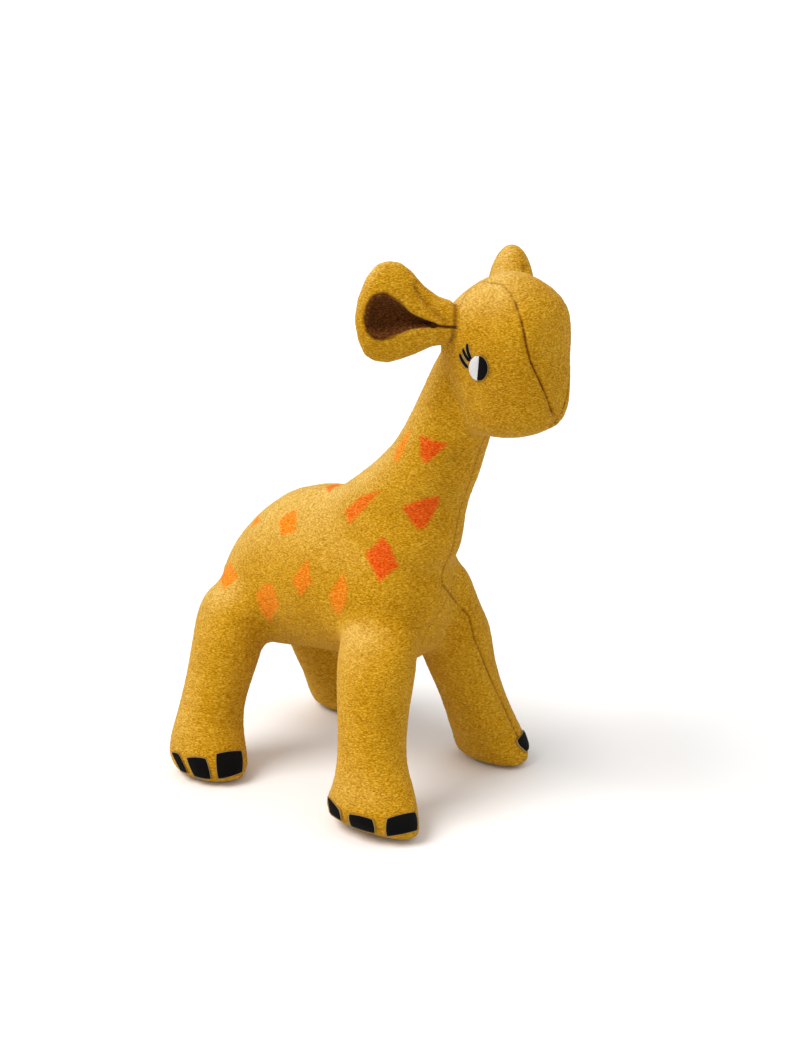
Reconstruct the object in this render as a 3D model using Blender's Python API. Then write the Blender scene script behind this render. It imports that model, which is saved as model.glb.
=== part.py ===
"""Plush giraffe: sewn cloth panels over stuffing, with legs, neck, head, ears and tail that flex.

Units are metres, +Z is up, the toy faces -Y and its left side is +X. The origin is the centre
of its bounding box, on the surface that it stands on.

Each part of the body is a stuffed bag: a core of stuffing inside cloth panels that meet at the
seams. A bag's root is a dome, seated in a round hollow of the part that carries it, so that it
can swing there as the stuffed cloth does.
"""

import math
from collections import namedtuple

import bmesh
import bpy
from mathutils import Matrix, Vector

# Cloth, clearances and cuts
CLOTH = 0.0018
TOUCH = 0.0003
FORM_GAP = 0.0006
DOME_PLAY = 0.0014
SKIRT_WALL = 0.0015
SKIRT_HEM = 0.0016
PATCH = 0.0006
SOLE_FLAT = 0.0005
CUT_OVERRUN = 0.060
SPLIT_REACH = 0.400
HOLLOW_MOUTH = 0.012

# Barrel of the trunk
BARREL_LENGTH = 0.157
BARREL_WIDTH = 0.080
BARREL_HEIGHT = 0.101
BARREL_AXIS_HEIGHT = 0.120
BARREL_MIDDLE = -0.0135
GUSSET_WIDTH = 0.030
GUSSET_CHEST_HEIGHT = 0.132
GUSSET_RUMP_HEIGHT = 0.098
GUSSET_REAR_SHARE = 0.470

# Neck, from the trunk's rim to the head's
NECK_ROOT_FORWARD = 0.0420
NECK_ROOT_HEIGHT = 0.163
NECK_LENGTH = 0.097
NECK_LEAN = math.radians(22)
NECK_ROOT_RADIUS = 0.0315
NECK_MIDDLE_RADIUS = 0.0250
NECK_TOP_RADIUS = 0.0198
NECK_ROOT_SINK = 0.026
NECK_FLEX = math.radians(12)

# Head
HEAD_HEIGHT = 0.092
HEAD_DEPTH = 0.055
HEAD_WIDTH = 0.058
HEAD_TILT = math.radians(14)
HEAD_FORWARD = 0.0335
HEAD_RISE = 0.024
NAPE_RISE = 0.030
FACE_GUSSET_WIDTH = 0.030

# Eyes
EYE_WIDTH = 0.0110
EYE_HEIGHT = 0.0140
EYE_FORWARD = -0.003
EYE_RISE = -0.003

# Legs
HIP_RADIUS = 0.0215
HAUNCH_RISE = 0.034
SHANK_RADIUS = 0.0192
SHANK_HEIGHT = 0.034
FOOT_WIDTH = 0.041
FRONT_FOOT_LENGTH = 0.060
REAR_FOOT_LENGTH = 0.052
FOOT_ROLL = 0.012
SOLE_EDGE = 0.0003
SOLE_SHARE = 0.74
FRONT_TRACK = 0.122
REAR_TRACK = 0.126
FRONT_SOLE_FORWARD = 0.058
REAR_SOLE_FORWARD = -0.062
FRONT_STRIDE = 0.004
FRONT_HIP_SPACING = 0.078
REAR_HIP_SPACING = 0.073
HIP_HEIGHT = 0.076
FRONT_HIP_SETBACK = 0.012
REAR_HIP_SETBACK = -0.001
LEG_FLEX = math.radians(10)

# Toenails
NAIL_WIDTH = 0.0128
NAIL_HEIGHT = 0.0120
NAIL_SPACING = math.radians(54)
NAILS_TURN = math.radians(20)

# Ears
EAR_LENGTH = 0.0545
EAR_WIDTH = 0.056
EAR_THICKNESS = 0.0180
EAR_CUP_DEPTH = 0.0120
EAR_ROOT_RADIUS = 0.0062
EAR_ROOT_RISE = 0.021
EAR_ROOT_FORWARD = -0.021
EAR_ROOT_SIDE = 0.0245
EAR_FOLD = math.radians(30)
RIGHT_EAR_SWEEP = math.radians(42)
LEFT_EAR_SWEEP = math.radians(32)
RIGHT_EAR_LIFT = math.radians(8)
LEFT_EAR_LIFT = math.radians(-6)

# Tail
TAIL_LENGTH = 0.048
TAIL_RADIUS = 0.0045
TAIL_ROOT_RADIUS = 0.0058
TAIL_ROOT_HEIGHT = 0.112
TAIL_ROOT_SINK = 0.0030
TAIL_FLARE = math.radians(60)
TUFT_RADIUS = 0.0065
TUFT_SHARE = 0.85

# Facets round each form, in fours so that none has a corner on the middle plane, and along a
# stretch between two of its stations
TRUNK_SIDES = 20
HEAD_SIDES = 20
NECK_SIDES = 16
LEG_SIDES = 12
EAR_SIDES = 12
SMALL_SIDES = 8
DOME_RINGS = 4
STEPS = 2
SHARP_ANGLE = math.radians(35)

# Along, rise, half width and half height of the barrel, as shares of its sizes
BARREL_SHARES = (
    (-0.500, -0.140, 0.00, 0.00),
    (-0.462, -0.140, 0.36, 0.33),
    (-0.373, -0.085, 0.65, 0.65),
    (-0.195, -0.015, 0.92, 0.92),
    (0.010, 0.025, 1.00, 1.02),
    (0.200, 0.085, 0.98, 1.06),
    (0.360, 0.040, 0.84, 0.84),
    (0.455, 0.050, 0.54, 0.53),
    (0.500, 0.100, 0.00, 0.00),
)
# Down from the crown, forward, half width and half depth of the head, and how square it is
HEAD_SHARES = (
    (0.00, 0.010, 0.00, 0.00, 2.0),
    (0.05, 0.020, 0.66, 0.62, 2.2),
    (0.17, 0.035, 0.94, 0.92, 2.5),
    (0.40, 0.010, 1.00, 0.99, 2.6),
    (0.65, 0.000, 0.96, 0.98, 2.6),
    (0.85, 0.010, 0.80, 0.90, 2.4),
    (0.96, 0.020, 0.52, 0.62, 2.2),
    (1.00, 0.020, 0.00, 0.00, 2.0),
)
# Out from the root, half width and half thickness of an ear's leaf, and of the cup in it
EAR_SHARES = (
    (0.00, 0.00, 0.00),
    (0.05, 0.14, 0.45),
    (0.16, 0.28, 0.75),
    (0.36, 0.62, 0.90),
    (0.60, 0.96, 1.00),
    (0.80, 0.92, 0.90),
    (0.94, 0.56, 0.66),
    (1.00, 0.00, 0.00),
)
EAR_CUP_SHARES = (
    (0.14, 0.00, 0.00),
    (0.28, 0.14, 0.55),
    (0.50, 0.32, 0.90),
    (0.70, 0.46, 1.00),
    (0.82, 0.38, 0.80),
    (0.88, 0.00, 0.00),
)

# Down from the crown and half width of the head's gusset, ahead of the crown and behind it
FACE_GUSSET_SHARES = ((-0.30, 1.00), (0.30, 0.95), (0.58, 0.70), (0.82, 0.28), (0.93, 0.00))
NAPE_GUSSET_SHARES = ((-0.30, 1.00), (0.02, 0.95), (0.20, 0.60), (0.45, 0.00))

MUSTARD = "#c08a1a"
EAR_BROWN = "#46210c"
THREAD_BLACK = "#100e10"
THREAD_WHITE = "#e9e6de"
FIBREFILL = "#e4e1da"

Section = namedtuple("Section", "centre half_width half_depth squareness along")
X_AXIS, Y_AXIS, Z_AXIS = Vector((1, 0, 0)), Vector((0, 1, 0)), Vector((0, 0, 1))
SIDES = {"right": -1, "left": 1}


def spot(forward, height, side=0.0):
    """A point by its distance forward of the origin, its height, and its distance to the left."""
    return Vector((side, -forward, height))


def section(centre, half_width, half_depth=None, squareness=2, along=None):
    """One cross-section of a form; without a depth it is round."""
    depth = half_width if half_depth is None else half_depth
    return Section(centre, half_width, depth, squareness, along)


def smoothed(sections, steps=STEPS):
    """Catmull-Rom interpolation through the sections, in this many steps between two of them."""
    rows = [[*s.centre, s.half_width, s.half_depth, s.squareness] for s in sections]
    made = []
    for i, (a, b) in enumerate(zip(rows, rows[1:])):
        before, after = rows[max(i - 1, 0)], rows[min(i + 2, len(rows) - 1)]
        made.append(sections[i])
        for k in range(1, steps):
            t = k / steps
            row = [
                q + 0.5 * t * (r - p + t * (2 * p - 5 * q + 4 * r - s + t * (3 * (q - r) + s - p)))
                for p, q, r, s in zip(before, a, b, after)
            ]
            made.append(Section(Vector(row[:3]), row[3], row[4], row[5], None))
    return [*made, sections[-1]]


def dome(centre, outward, radius, rings=DOME_RINGS, height=None, shift=0.0):
    """Sections of a half ball from its pole to just short of its rim, stretched to a height."""
    height = height or radius
    angles = [0, *(math.pi / 2 * (i - shift) / rings for i in range(1, rings + (shift > 0)))]
    return [section(centre + outward * height * math.cos(a), radius * math.sin(a)) for a in angles]


def ball_sections(centre, outward, radius):
    """A whole ball, from the pole that lies outward to the one opposite."""
    return [
        *dome(centre, outward, radius),
        section(centre, radius),
        *reversed(dome(centre, -outward, radius)),
    ]


def moved_out(sections, distance):
    """The same form with its skin moved outwards, or inwards where the distance is negative."""
    last = len(sections) - 1
    made = []
    for i, s in enumerate(sections):
        before, after = sections[max(i - 1, 0)], sections[min(i + 1, last)]
        run = after.centre - before.centre
        growth = (after.half_width + after.half_depth - before.half_width - before.half_depth) / 2
        slope = math.atan2(growth, run.length)
        if i in (0, last):
            slope = math.pi / 2 if i == 0 else -math.pi / 2
        grow = 0 if i in (0, last) else distance * math.cos(slope)
        centre = s.centre - run.normalized() * distance * math.sin(slope)
        width, depth = s.half_width + grow, s.half_depth + grow
        made.append(s._replace(centre=centre, half_width=width, half_depth=depth))
    return made


def loft(name, sections, sides, turn=0.5, side_axis=X_AXIS):
    """A closed form over the sections; the first and the last are its poles.

    The turn shifts the corners round the form, as a share of a side.
    """
    bm = bmesh.new()
    rings = []
    for before, s, after in zip(sections, sections[1:], sections[2:]):
        along = s.along or (after.centre - before.centre).normalized()
        across = (side_axis - along * side_axis.dot(along)).normalized()
        up = across.cross(along)
        power = 2 / s.squareness
        ring = []
        for k in range(sides):
            c, d = math.cos(math.tau * (k + turn) / sides), math.sin(math.tau * (k + turn) / sides)
            width = math.copysign(abs(c) ** power, c) * s.half_width
            depth = math.copysign(abs(d) ** power, d) * s.half_depth
            ring.append(bm.verts.new(s.centre + across * width + up * depth))
        rings.append(ring)
    for ring, after in zip(rings, rings[1:]):
        for k in range(sides):
            bm.faces.new((ring[k], ring[(k + 1) % sides], after[(k + 1) % sides], after[k]))
    for ring, end in ((rings[0], sections[0]), (rings[-1], sections[-1])):
        pole = bm.verts.new(end.centre)
        for k in range(sides):
            bm.faces.new((ring[k], ring[(k + 1) % sides], pole))
    bmesh.ops.recalc_face_normals(bm, faces=bm.faces)
    return helper_from(name, bm)


def helper_from(name, bm):
    """A hidden object with this bmesh, for cutting and joining."""
    mesh = bpy.data.meshes.new(name)
    bm.to_mesh(mesh)
    bm.free()
    return helper(name, mesh)


def helper(name, mesh):
    obj = bpy.data.objects.new(name, mesh)
    obj.hide_render = True
    obj.display_type = "WIRE"
    bpy.data.collections["cutters"].objects.link(obj)
    return obj


def hollow(name, centre, outward, radius, flex, sides):
    """Room for a dome that swings by the flex: round within, and flared where the limb leaves."""
    mouth = radius * math.cos(math.pi / 4 / DOME_RINGS)
    leave = radius * math.sin(math.pi / 4 / DOME_RINGS)
    past = HOLLOW_MOUTH
    sections = [
        *dome(centre, -outward, radius, shift=0.5),
        section(centre + outward * leave, mouth),
        section(centre + outward * (leave + past), mouth + past * math.tan(flex)),
        section(centre + outward * (leave + past), 0),
    ]
    return loft(name, sections, sides, turn=0)


def prism(name, outline, start, end):
    """The outline's points carried along from the start vector to the end vector."""
    bm = bmesh.new()
    near = [bm.verts.new(point + start) for point in outline]
    far = [bm.verts.new(point + end) for point in outline]
    bm.faces.new(near)
    bm.faces.new(far)
    for k in range(len(outline)):
        after = (k + 1) % len(outline)
        bm.faces.new((near[k], near[after], far[after], far[k]))
    bmesh.ops.recalc_face_normals(bm, faces=bm.faces)
    return helper_from(name, bm)


def half_space(name, centre, normal):
    """A block whose one face lies at the centre, square to the normal, with its body behind it."""
    bm = bmesh.new()
    turn = normal.to_track_quat("Z", "Y").to_matrix().to_4x4()
    place = Matrix.Translation(centre - normal * SPLIT_REACH) @ turn
    bmesh.ops.create_cube(bm, size=2 * SPLIT_REACH, matrix=place)
    return helper_from(name, bm)


def combined(name, first, *steps):
    """A new helper: the first object with each (operation, object) of the steps applied in turn."""
    worker = helper(name, first.data)
    for operation, other in steps:
        modifier = worker.modifiers.new(operation.lower(), "BOOLEAN")
        modifier.operation = operation
        modifier.object = other
    graph = bpy.context.evaluated_depsgraph_get()
    mesh = bpy.data.meshes.new_from_object(worker.evaluated_get(graph))
    worker.modifiers.clear()
    worker.data = mesh
    return worker


def joined(name, forms):
    return combined(name, forms[0], *(("UNION", form) for form in forms[1:]))


def shell(name, outer, inner, *hollows):
    """Cloth: what lies between two forms, opened by each hollow."""
    return combined(name, outer, ("DIFFERENCE", joined(name + "_room", [inner, *hollows])))


def linear(channel):
    return channel / 12.92 if channel <= 0.04045 else ((channel + 0.055) / 1.055) ** 2.4


def material(name, colour, roughness):
    """A Principled BSDF of this sRGB colour."""
    made = bpy.data.materials.new(name)
    made.use_nodes = True
    shader = made.node_tree.nodes["Principled BSDF"]
    channels = [linear(int(colour[i : i + 2], 16) / 255) for i in (1, 3, 5)]
    shader.inputs["Base Color"].default_value = (*channels, 1)
    shader.inputs["Roughness"].default_value = roughness
    shader.inputs["Metallic"].default_value = 0
    return made


class Body:
    """One moving part: an empty on its joint, which carries its pieces."""

    def __init__(self, name, joint, parent=None):
        self.joint = joint
        self.empty = bpy.data.objects.new(name + "_joint", None)
        self.empty.location = joint - parent.joint if parent else joint
        self.empty.parent = parent.empty if parent else None
        bpy.data.collections["plush_giraffe"].objects.link(self.empty)

    def add(self, name, form, finish):
        """Hands in a helper's shape as a finished piece of this body."""
        mesh = form.data.copy()
        mesh.name = name
        mesh.transform(Matrix.Translation(-self.joint))
        mesh.materials.clear()
        mesh.materials.append(finish)
        mesh.shade_smooth()
        mesh.set_sharp_from_angle(angle=SHARP_ANGLE)
        piece = bpy.data.objects.new(name, mesh)
        piece.parent = self.empty
        bpy.data.collections["plush_giraffe"].objects.link(piece)


def split(name, form, centre, normal, *steps):
    """The side of a form that lies along the normal from a seam through the centre."""
    keep = half_space(name + "_side", centre + normal * TOUCH / 2, -normal)
    return combined(name, form, ("INTERSECT", keep), *steps)


# Places that several parts share
NECK_ALONG = spot(math.sin(NECK_LEAN), math.cos(NECK_LEAN))
NECK_ROOT = spot(NECK_ROOT_FORWARD, NECK_ROOT_HEIGHT)
HEAD_JOINT = NECK_ROOT + NECK_ALONG * NECK_LENGTH
FACE_DOWN = spot(math.sin(HEAD_TILT), -math.cos(HEAD_TILT))
FACE_OUT = spot(math.cos(HEAD_TILT), math.sin(HEAD_TILT))
HEAD_CENTRE = HEAD_JOINT + spot(HEAD_FORWARD, HEAD_RISE)
CROWN = HEAD_CENTRE - FACE_DOWN * HEAD_HEIGHT / 2
TAIL_ROOT = spot(BARREL_MIDDLE - BARREL_LENGTH / 2 + TAIL_ROOT_SINK, TAIL_ROOT_HEIGHT)


class Leg:
    """Where one leg lies: its joint inside the trunk's rim, and the middle of its sole."""

    def __init__(self, end, side):
        sign = SIDES[side]
        if end == "front":
            forward, track, stride = FRONT_SOLE_FORWARD, FRONT_TRACK, -sign * FRONT_STRIDE
            setback, spacing = FRONT_HIP_SETBACK, FRONT_HIP_SPACING
            self.foot_length = FRONT_FOOT_LENGTH
        else:
            forward, track, stride = REAR_SOLE_FORWARD, REAR_TRACK, 0
            setback, spacing = REAR_HIP_SETBACK, REAR_HIP_SPACING
            self.foot_length = REAR_FOOT_LENGTH
        self.name = f"{side}_{end}_leg"
        self.outward = X_AXIS * sign
        self.sole = spot(forward + stride, 0, sign * track / 2)
        self.joint = spot(forward - setback, HIP_HEIGHT, sign * spacing / 2)
        self.down = (self.sole - self.joint).normalized()


LEGS = [Leg(end, side) for end in ("front", "rear") for side in SIDES]


def barrel_sections():
    middle = spot(BARREL_MIDDLE, BARREL_AXIS_HEIGHT)
    return [
        section(
            middle + spot(along * BARREL_LENGTH, rise * BARREL_HEIGHT),
            width * BARREL_WIDTH / 2,
            height * BARREL_HEIGHT / 2,
            along=-Y_AXIS,
        )
        for along, rise, width, height in BARREL_SHARES
    ]


def skirt_form(name, joint, outward, radius, rise, distance, sides):
    """A form that grows from inside its carrier to a rim round the joint of what it holds.

    An inner form runs on past the rim, so that the cloth between the two is open there, and it
    leaves room for the hem that thickens the cloth at the rim.
    """
    height = radius + DOME_PLAY + SKIRT_WALL + rise + distance
    rim = height - rise - (SKIRT_HEM if distance else 0)
    end = joint - outward * distance
    sections = [*dome(joint, -outward, rim, height=height), section(end, rim), section(end, 0)]
    return loft(name, sections, sides)


def trunk_form(name, distance):
    """Barrel, haunches, shoulders and the root of the neck, with the skin moved by a distance."""
    forms = [loft(name + "_barrel", moved_out(barrel_sections(), distance), TRUNK_SIDES)]
    for leg in LEGS:
        place = (leg.joint, leg.down, HIP_RADIUS, HAUNCH_RISE)
        forms.append(skirt_form(f"{name}_{leg.name}", *place, distance, LEG_SIDES))
    place = (NECK_ROOT, NECK_ALONG, NECK_ROOT_RADIUS, NECK_ROOT_SINK)
    forms.append(skirt_form(name + "_neck_root", *place, distance, NECK_SIDES))
    return joined(name, forms)


def trunk_hollows(name, wall):
    """Room in the trunk for the roots of the legs, the neck and the tail."""
    grow = DOME_PLAY + wall
    hollows = [
        hollow(f"{name}_{leg.name}", leg.joint, leg.down, HIP_RADIUS + grow, LEG_FLEX, LEG_SIDES)
        for leg in LEGS
    ]
    place = (NECK_ROOT, NECK_ALONG, NECK_ROOT_RADIUS + grow, NECK_FLEX)
    hollows.append(hollow(name + "_neck", *place, NECK_SIDES))
    place = (TAIL_ROOT, Y_AXIS, TAIL_ROOT_RADIUS + grow, TAIL_FLARE)
    return [*hollows, hollow(name + "_tail", *place, SMALL_SIDES)]


def gusset_region(name, grow):
    """The belly's pointed oval, from its low tip on the rump to the high one on the chest."""
    front, rear = BARREL_LENGTH / 2 + CLOTH, BARREL_LENGTH * GUSSET_REAR_SHARE
    slope = (GUSSET_CHEST_HEIGHT - GUSSET_RUMP_HEIGHT) / (front + rear)
    outline = []
    for angle in (math.tau * k / NECK_SIDES for k in range(NECK_SIDES)):
        along = math.cos(angle) * ((front if math.cos(angle) > 0 else rear) + grow)
        height = GUSSET_RUMP_HEIGHT + (along + rear) * slope + grow
        outline.append(spot(BARREL_MIDDLE + along, height, (GUSSET_WIDTH / 2 + grow) * math.sin(angle)))
    return prism(name, outline, Z_AXIS * -2 * CUT_OVERRUN, Vector())


def build_trunk(body, cloth, filling):
    rooms = joined("trunk_rooms", trunk_hollows("room", SKIRT_WALL))
    core = combined("trunk_core", trunk_form("trunk_fill", -CLOTH - FORM_GAP), ("DIFFERENCE", rooms))
    body.add("trunk_stuffing", core, filling)
    inside = trunk_form("trunk_in", -CLOTH)
    skin = shell("trunk_skin", trunk_form("trunk_out", 0), inside, *trunk_hollows("hollow", 0))
    around = gusset_region("gusset_around", TOUCH / 2)
    for side, sign in SIDES.items():
        panel = split(f"{side}_body", skin, Vector(), X_AXIS * sign, ("DIFFERENCE", around))
        body.add(f"{side}_side_panel", panel, cloth)
    within = gusset_region("gusset_within", -TOUCH / 2)
    body.add("belly_gusset", combined("belly", skin, ("INTERSECT", within)), cloth)


def stuffed(name, sections, sides, *cuts):
    """The cloth and the stuffing of a bag over the sections."""
    inside = loft(name + "_in", moved_out(sections, -CLOTH), sides)
    cover = shell(name + "_cover", loft(name + "_out", sections, sides), inside)
    core = loft(name + "_fill", moved_out(sections, -CLOTH - FORM_GAP), sides)
    return combined(name + "_skin", cover, *cuts), combined(name + "_core", core, *cuts)


def build_neck(body, cloth, filling):
    middle = (NECK_ROOT + HEAD_JOINT) / 2
    shaft = [
        section(NECK_ROOT, NECK_ROOT_RADIUS),
        section(middle, NECK_MIDDLE_RADIUS),
        section(HEAD_JOINT, NECK_TOP_RADIUS),
    ]
    sections = [
        *dome(NECK_ROOT, -NECK_ALONG, NECK_ROOT_RADIUS),
        *smoothed(shaft),
        *reversed(dome(HEAD_JOINT, NECK_ALONG, NECK_TOP_RADIUS)),
    ]
    skin, core = stuffed("neck", sections, NECK_SIDES)
    body.add("neck_stuffing", core, filling)
    for side, sign in SIDES.items():
        body.add(f"{side}_neck_panel", split(f"{side}_neck", skin, Vector(), X_AXIS * sign), cloth)


def face_form(name, distance):
    """The rounded block of the head."""
    sections = [
        section(
            CROWN + FACE_DOWN * down * HEAD_HEIGHT + FACE_OUT * out * HEAD_DEPTH,
            width * HEAD_WIDTH / 2,
            depth * HEAD_DEPTH / 2,
            squareness,
            FACE_DOWN,
        )
        for down, out, width, depth, squareness in HEAD_SHARES
    ]
    return loft(name, moved_out(sections, distance), HEAD_SIDES)


def head_form(name, distance):
    """The face's block and the nape that reaches down to the neck."""
    place = (HEAD_JOINT, -NECK_ALONG, NECK_TOP_RADIUS, NAPE_RISE)
    nape = skirt_form(name + "_nape", *place, distance, NECK_SIDES)
    return joined(name, [face_form(name + "_face", distance), nape])


def head_hollows(name, wall):
    """Room in the head for the top of the neck and the roots of the ears."""
    grow = DOME_PLAY + wall
    place = (HEAD_JOINT, -NECK_ALONG, NECK_TOP_RADIUS + grow, NECK_FLEX)
    hollows = [hollow(name + "_neck", *place, NECK_SIDES)]
    for ear in EARS:
        place = (ear.root, ear.along, EAR_ROOT_RADIUS + grow, EAR_FOLD)
        hollows.append(hollow(f"{name}_{ear.name}", *place, SMALL_SIDES))
    return hollows


def head_gusset_region(name, grow):
    """The strip that runs from the nape over the crown and down the face to the nose."""
    forms = []
    for part, shares, reach in (("face", FACE_GUSSET_SHARES, -1), ("nape", NAPE_GUSSET_SHARES, 1)):
        half = [
            ((FACE_GUSSET_WIDTH / 2 + grow) * width, CROWN.z - down * HEAD_HEIGHT - grow * (width == 0))
            for down, width in shares
        ]
        outline = [Vector((x, HEAD_CENTRE.y, z)) for x, z in half]
        outline += [Vector((-x, HEAD_CENTRE.y, z)) for x, z in reversed(half) if x]
        forms.append(prism(f"{name}_{part}", outline, Vector(), Y_AXIS * reach * CUT_OVERRUN))
    return joined(name, forms)


def eye_outline(black):
    """One half of the eye's oval, seen from the side: the front half is black."""
    sign = 1 if black else -1
    centre = HEAD_CENTRE + spot(EYE_FORWARD, EYE_RISE)
    return [
        centre
        + spot(
            sign * (TOUCH + EYE_WIDTH * math.cos(angle)) / 2,
            EYE_HEIGHT * math.sin(angle) / 2,
        )
        for angle in (math.pi * (k / SMALL_SIDES - 0.5) for k in range(SMALL_SIDES + 1))
    ]


def build_head(body, cloth, filling, black, white):
    rooms = joined("head_rooms", head_hollows("head_room", SKIRT_WALL))
    core = combined("head_core", head_form("head_fill", -CLOTH - FORM_GAP), ("DIFFERENCE", rooms))
    body.add("head_stuffing", core, filling)
    inside = head_form("head_in", -CLOTH)
    skin = shell("head_skin", head_form("head_out", 0), inside, *head_hollows("head_hollow", 0))
    around = head_gusset_region("strip_around", TOUCH / 2)
    within = head_gusset_region("strip_within", -TOUCH / 2)
    body.add("head_gusset", combined("strip", skin, ("INTERSECT", within)), cloth)
    patch = shell("eye_layer", face_form("eye_out", TOUCH + PATCH), face_form("eye_in", TOUCH))
    for side, sign in SIDES.items():
        panel = split(f"{side}_cheek", skin, Vector(), X_AXIS * sign, ("DIFFERENCE", around))
        body.add(f"{side}_head_panel", panel, cloth)
        for shade, finish in (("black", black), ("white", white)):
            outline = eye_outline(shade == "black")
            cut = prism(f"{side}_{shade}", outline, Vector(), X_AXIS * sign * CUT_OVERRUN)
            half = combined(f"{side}_{shade}_eye", patch, ("INTERSECT", cut))
            body.add(f"{side}_eye_{shade}", half, finish)


class Ear:
    """Where one ear lies: its root in the side of the head, and its own directions."""

    def __init__(self, side, sweep, lift):
        self.name = f"{side}_ear"
        sign = SIDES[side]
        self.root = HEAD_CENTRE + spot(EAR_ROOT_FORWARD, EAR_ROOT_RISE, sign * EAR_ROOT_SIDE)
        flat = spot(-math.sin(sweep), 0, sign * math.cos(sweep))
        self.along = flat * math.cos(lift) + Z_AXIS * math.sin(lift)
        self.mouth = spot(math.cos(sweep), 0, sign * math.sin(sweep))


EARS = [
    Ear("right", RIGHT_EAR_SWEEP, RIGHT_EAR_LIFT),
    Ear("left", LEFT_EAR_SWEEP, LEFT_EAR_LIFT),
]


def leaf(name, ear, distance, shares=EAR_SHARES, depth=EAR_THICKNESS, lift=0.0):
    """A leaf out from an ear's root, or the cup in it, lifted towards the ear's mouth."""
    sections = [
        section(
            ear.root + ear.along * out * EAR_LENGTH + ear.mouth * lift,
            width * EAR_WIDTH / 2,
            thick * depth / 2,
        )
        for out, width, thick in shares
    ]
    return loft(name, moved_out(sections, distance), EAR_SIDES, side_axis=ear.along.cross(ear.mouth))


def cup(name, ear, distance):
    return leaf(name, ear, distance, EAR_CUP_SHARES, EAR_CUP_DEPTH * 2, EAR_THICKNESS / 2)


def build_ear(ear, body, cloth, lining):
    root = loft(ear.name + "_root", ball_sections(ear.root, ear.along, EAR_ROOT_RADIUS), SMALL_SIDES)
    whole = joined(ear.name + "_whole", [leaf(ear.name + "_leaf", ear, 0), root])
    back = combined(ear.name + "_cupped", whole, ("DIFFERENCE", cup(ear.name + "_scoop", ear, 0)))
    body.add(ear.name + "_back", back, cloth)
    inside, mouth = (cup(f"{ear.name}_{i}", ear, -TOUCH - i * CLOTH) for i in (0, 1))
    bound = leaf(ear.name + "_bound", ear, -TOUCH)
    layer = combined(ear.name + "_layer", shell(ear.name + "_lined", inside, mouth), ("INTERSECT", bound))
    body.add(ear.name + "_lining", layer, lining)


def leg_sections(leg):
    """From the dome in the trunk down the tapering shank to the foot that flares on the floor."""
    share = 1 - SHANK_HEIGHT / HIP_HEIGHT
    foot = leg.sole + Z_AXIS * FOOT_ROLL
    shaft = [
        section(leg.joint, HIP_RADIUS),
        section(leg.joint.lerp(leg.sole, share), SHANK_RADIUS),
        section(foot, FOOT_WIDTH / 2, leg.foot_length / 2),
    ]
    return [
        *dome(leg.joint, -leg.down, HIP_RADIUS),
        *smoothed(shaft),
        section(
            leg.sole + Z_AXIS * SOLE_EDGE,
            FOOT_WIDTH / 2 * SOLE_SHARE,
            leg.foot_length / 2 * SOLE_SHARE,
            along=-Z_AXIS,
        ),
        section(leg.sole - Z_AXIS * SOLE_FLAT, 0),
    ]


def nail_outline(leg, turn):
    """A nail's block, from the middle of the foot out past its toe, above the floor."""
    facing = Matrix.Rotation(turn, 3, "Z") @ leg.outward
    across = Z_AXIS.cross(facing)
    return [
        leg.sole + across * side * NAIL_WIDTH / 2 + Z_AXIS * height
        for side, height in ((-1, TOUCH), (1, TOUCH), (1, NAIL_HEIGHT), (-1, NAIL_HEIGHT))
    ], facing


def build_leg(leg, body, cloth, filling, black):
    floor = half_space(leg.name + "_floor", Vector(), Z_AXIS)
    sections = leg_sections(leg)
    skin, core = stuffed(leg.name, sections, LEG_SIDES, ("DIFFERENCE", floor))
    body.add(leg.name + "_stuffing", core, filling)
    across = (leg.outward - leg.down * leg.outward.dot(leg.down)).normalized()
    for part, normal in (("outer", across), ("inner", -across)):
        panel = split(f"{leg.name}_{part}", skin, leg.sole, normal)
        body.add(f"{leg.name}_{part}_panel", panel, cloth)
    layer = shell(
        leg.name + "_nails",
        loft(leg.name + "_nail_out", moved_out(sections, FORM_GAP + PATCH), LEG_SIDES),
        loft(leg.name + "_nail_in", moved_out(sections, FORM_GAP), LEG_SIDES),
    )
    forward = -1 if leg.outward.x > 0 else 1
    for name, step in (("rear", -1), ("middle", 0), ("front", 1)):
        outline, facing = nail_outline(leg, forward * (NAILS_TURN + step * NAIL_SPACING))
        start, reach = facing * SHANK_RADIUS / 2, facing * CUT_OVERRUN
        cut = prism(f"{leg.name}_{name}_cut", outline, start, reach)
        nail = combined(f"{leg.name}_{name}", layer, ("INTERSECT", cut))
        body.add(f"{leg.name}_{name}_toenail", nail, black)


def build_tail(body, cloth):
    """A narrow cloth tube that hangs from its dome and ends in a fuller tuft."""
    end = TAIL_ROOT + spot(-TAIL_ROOT_RADIUS, -TAIL_LENGTH)
    hang = [
        section(TAIL_ROOT + spot(-TAIL_ROOT_RADIUS, 0), TAIL_RADIUS),
        section((TAIL_ROOT + end) / 2 + spot(-TAIL_RADIUS, 0), TAIL_RADIUS),
        section(TAIL_ROOT.lerp(end, TUFT_SHARE) + spot(-TAIL_RADIUS, 0), TUFT_RADIUS),
        section(end, 0),
    ]
    root = loft("tail_dome", ball_sections(TAIL_ROOT, Y_AXIS, TAIL_ROOT_RADIUS), SMALL_SIDES)
    strand = loft("tail_strand", [section(TAIL_ROOT, 0), *smoothed(hang)], SMALL_SIDES)
    body.add("tail_cloth", joined("tail_form", [strand, root]), cloth)


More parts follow.
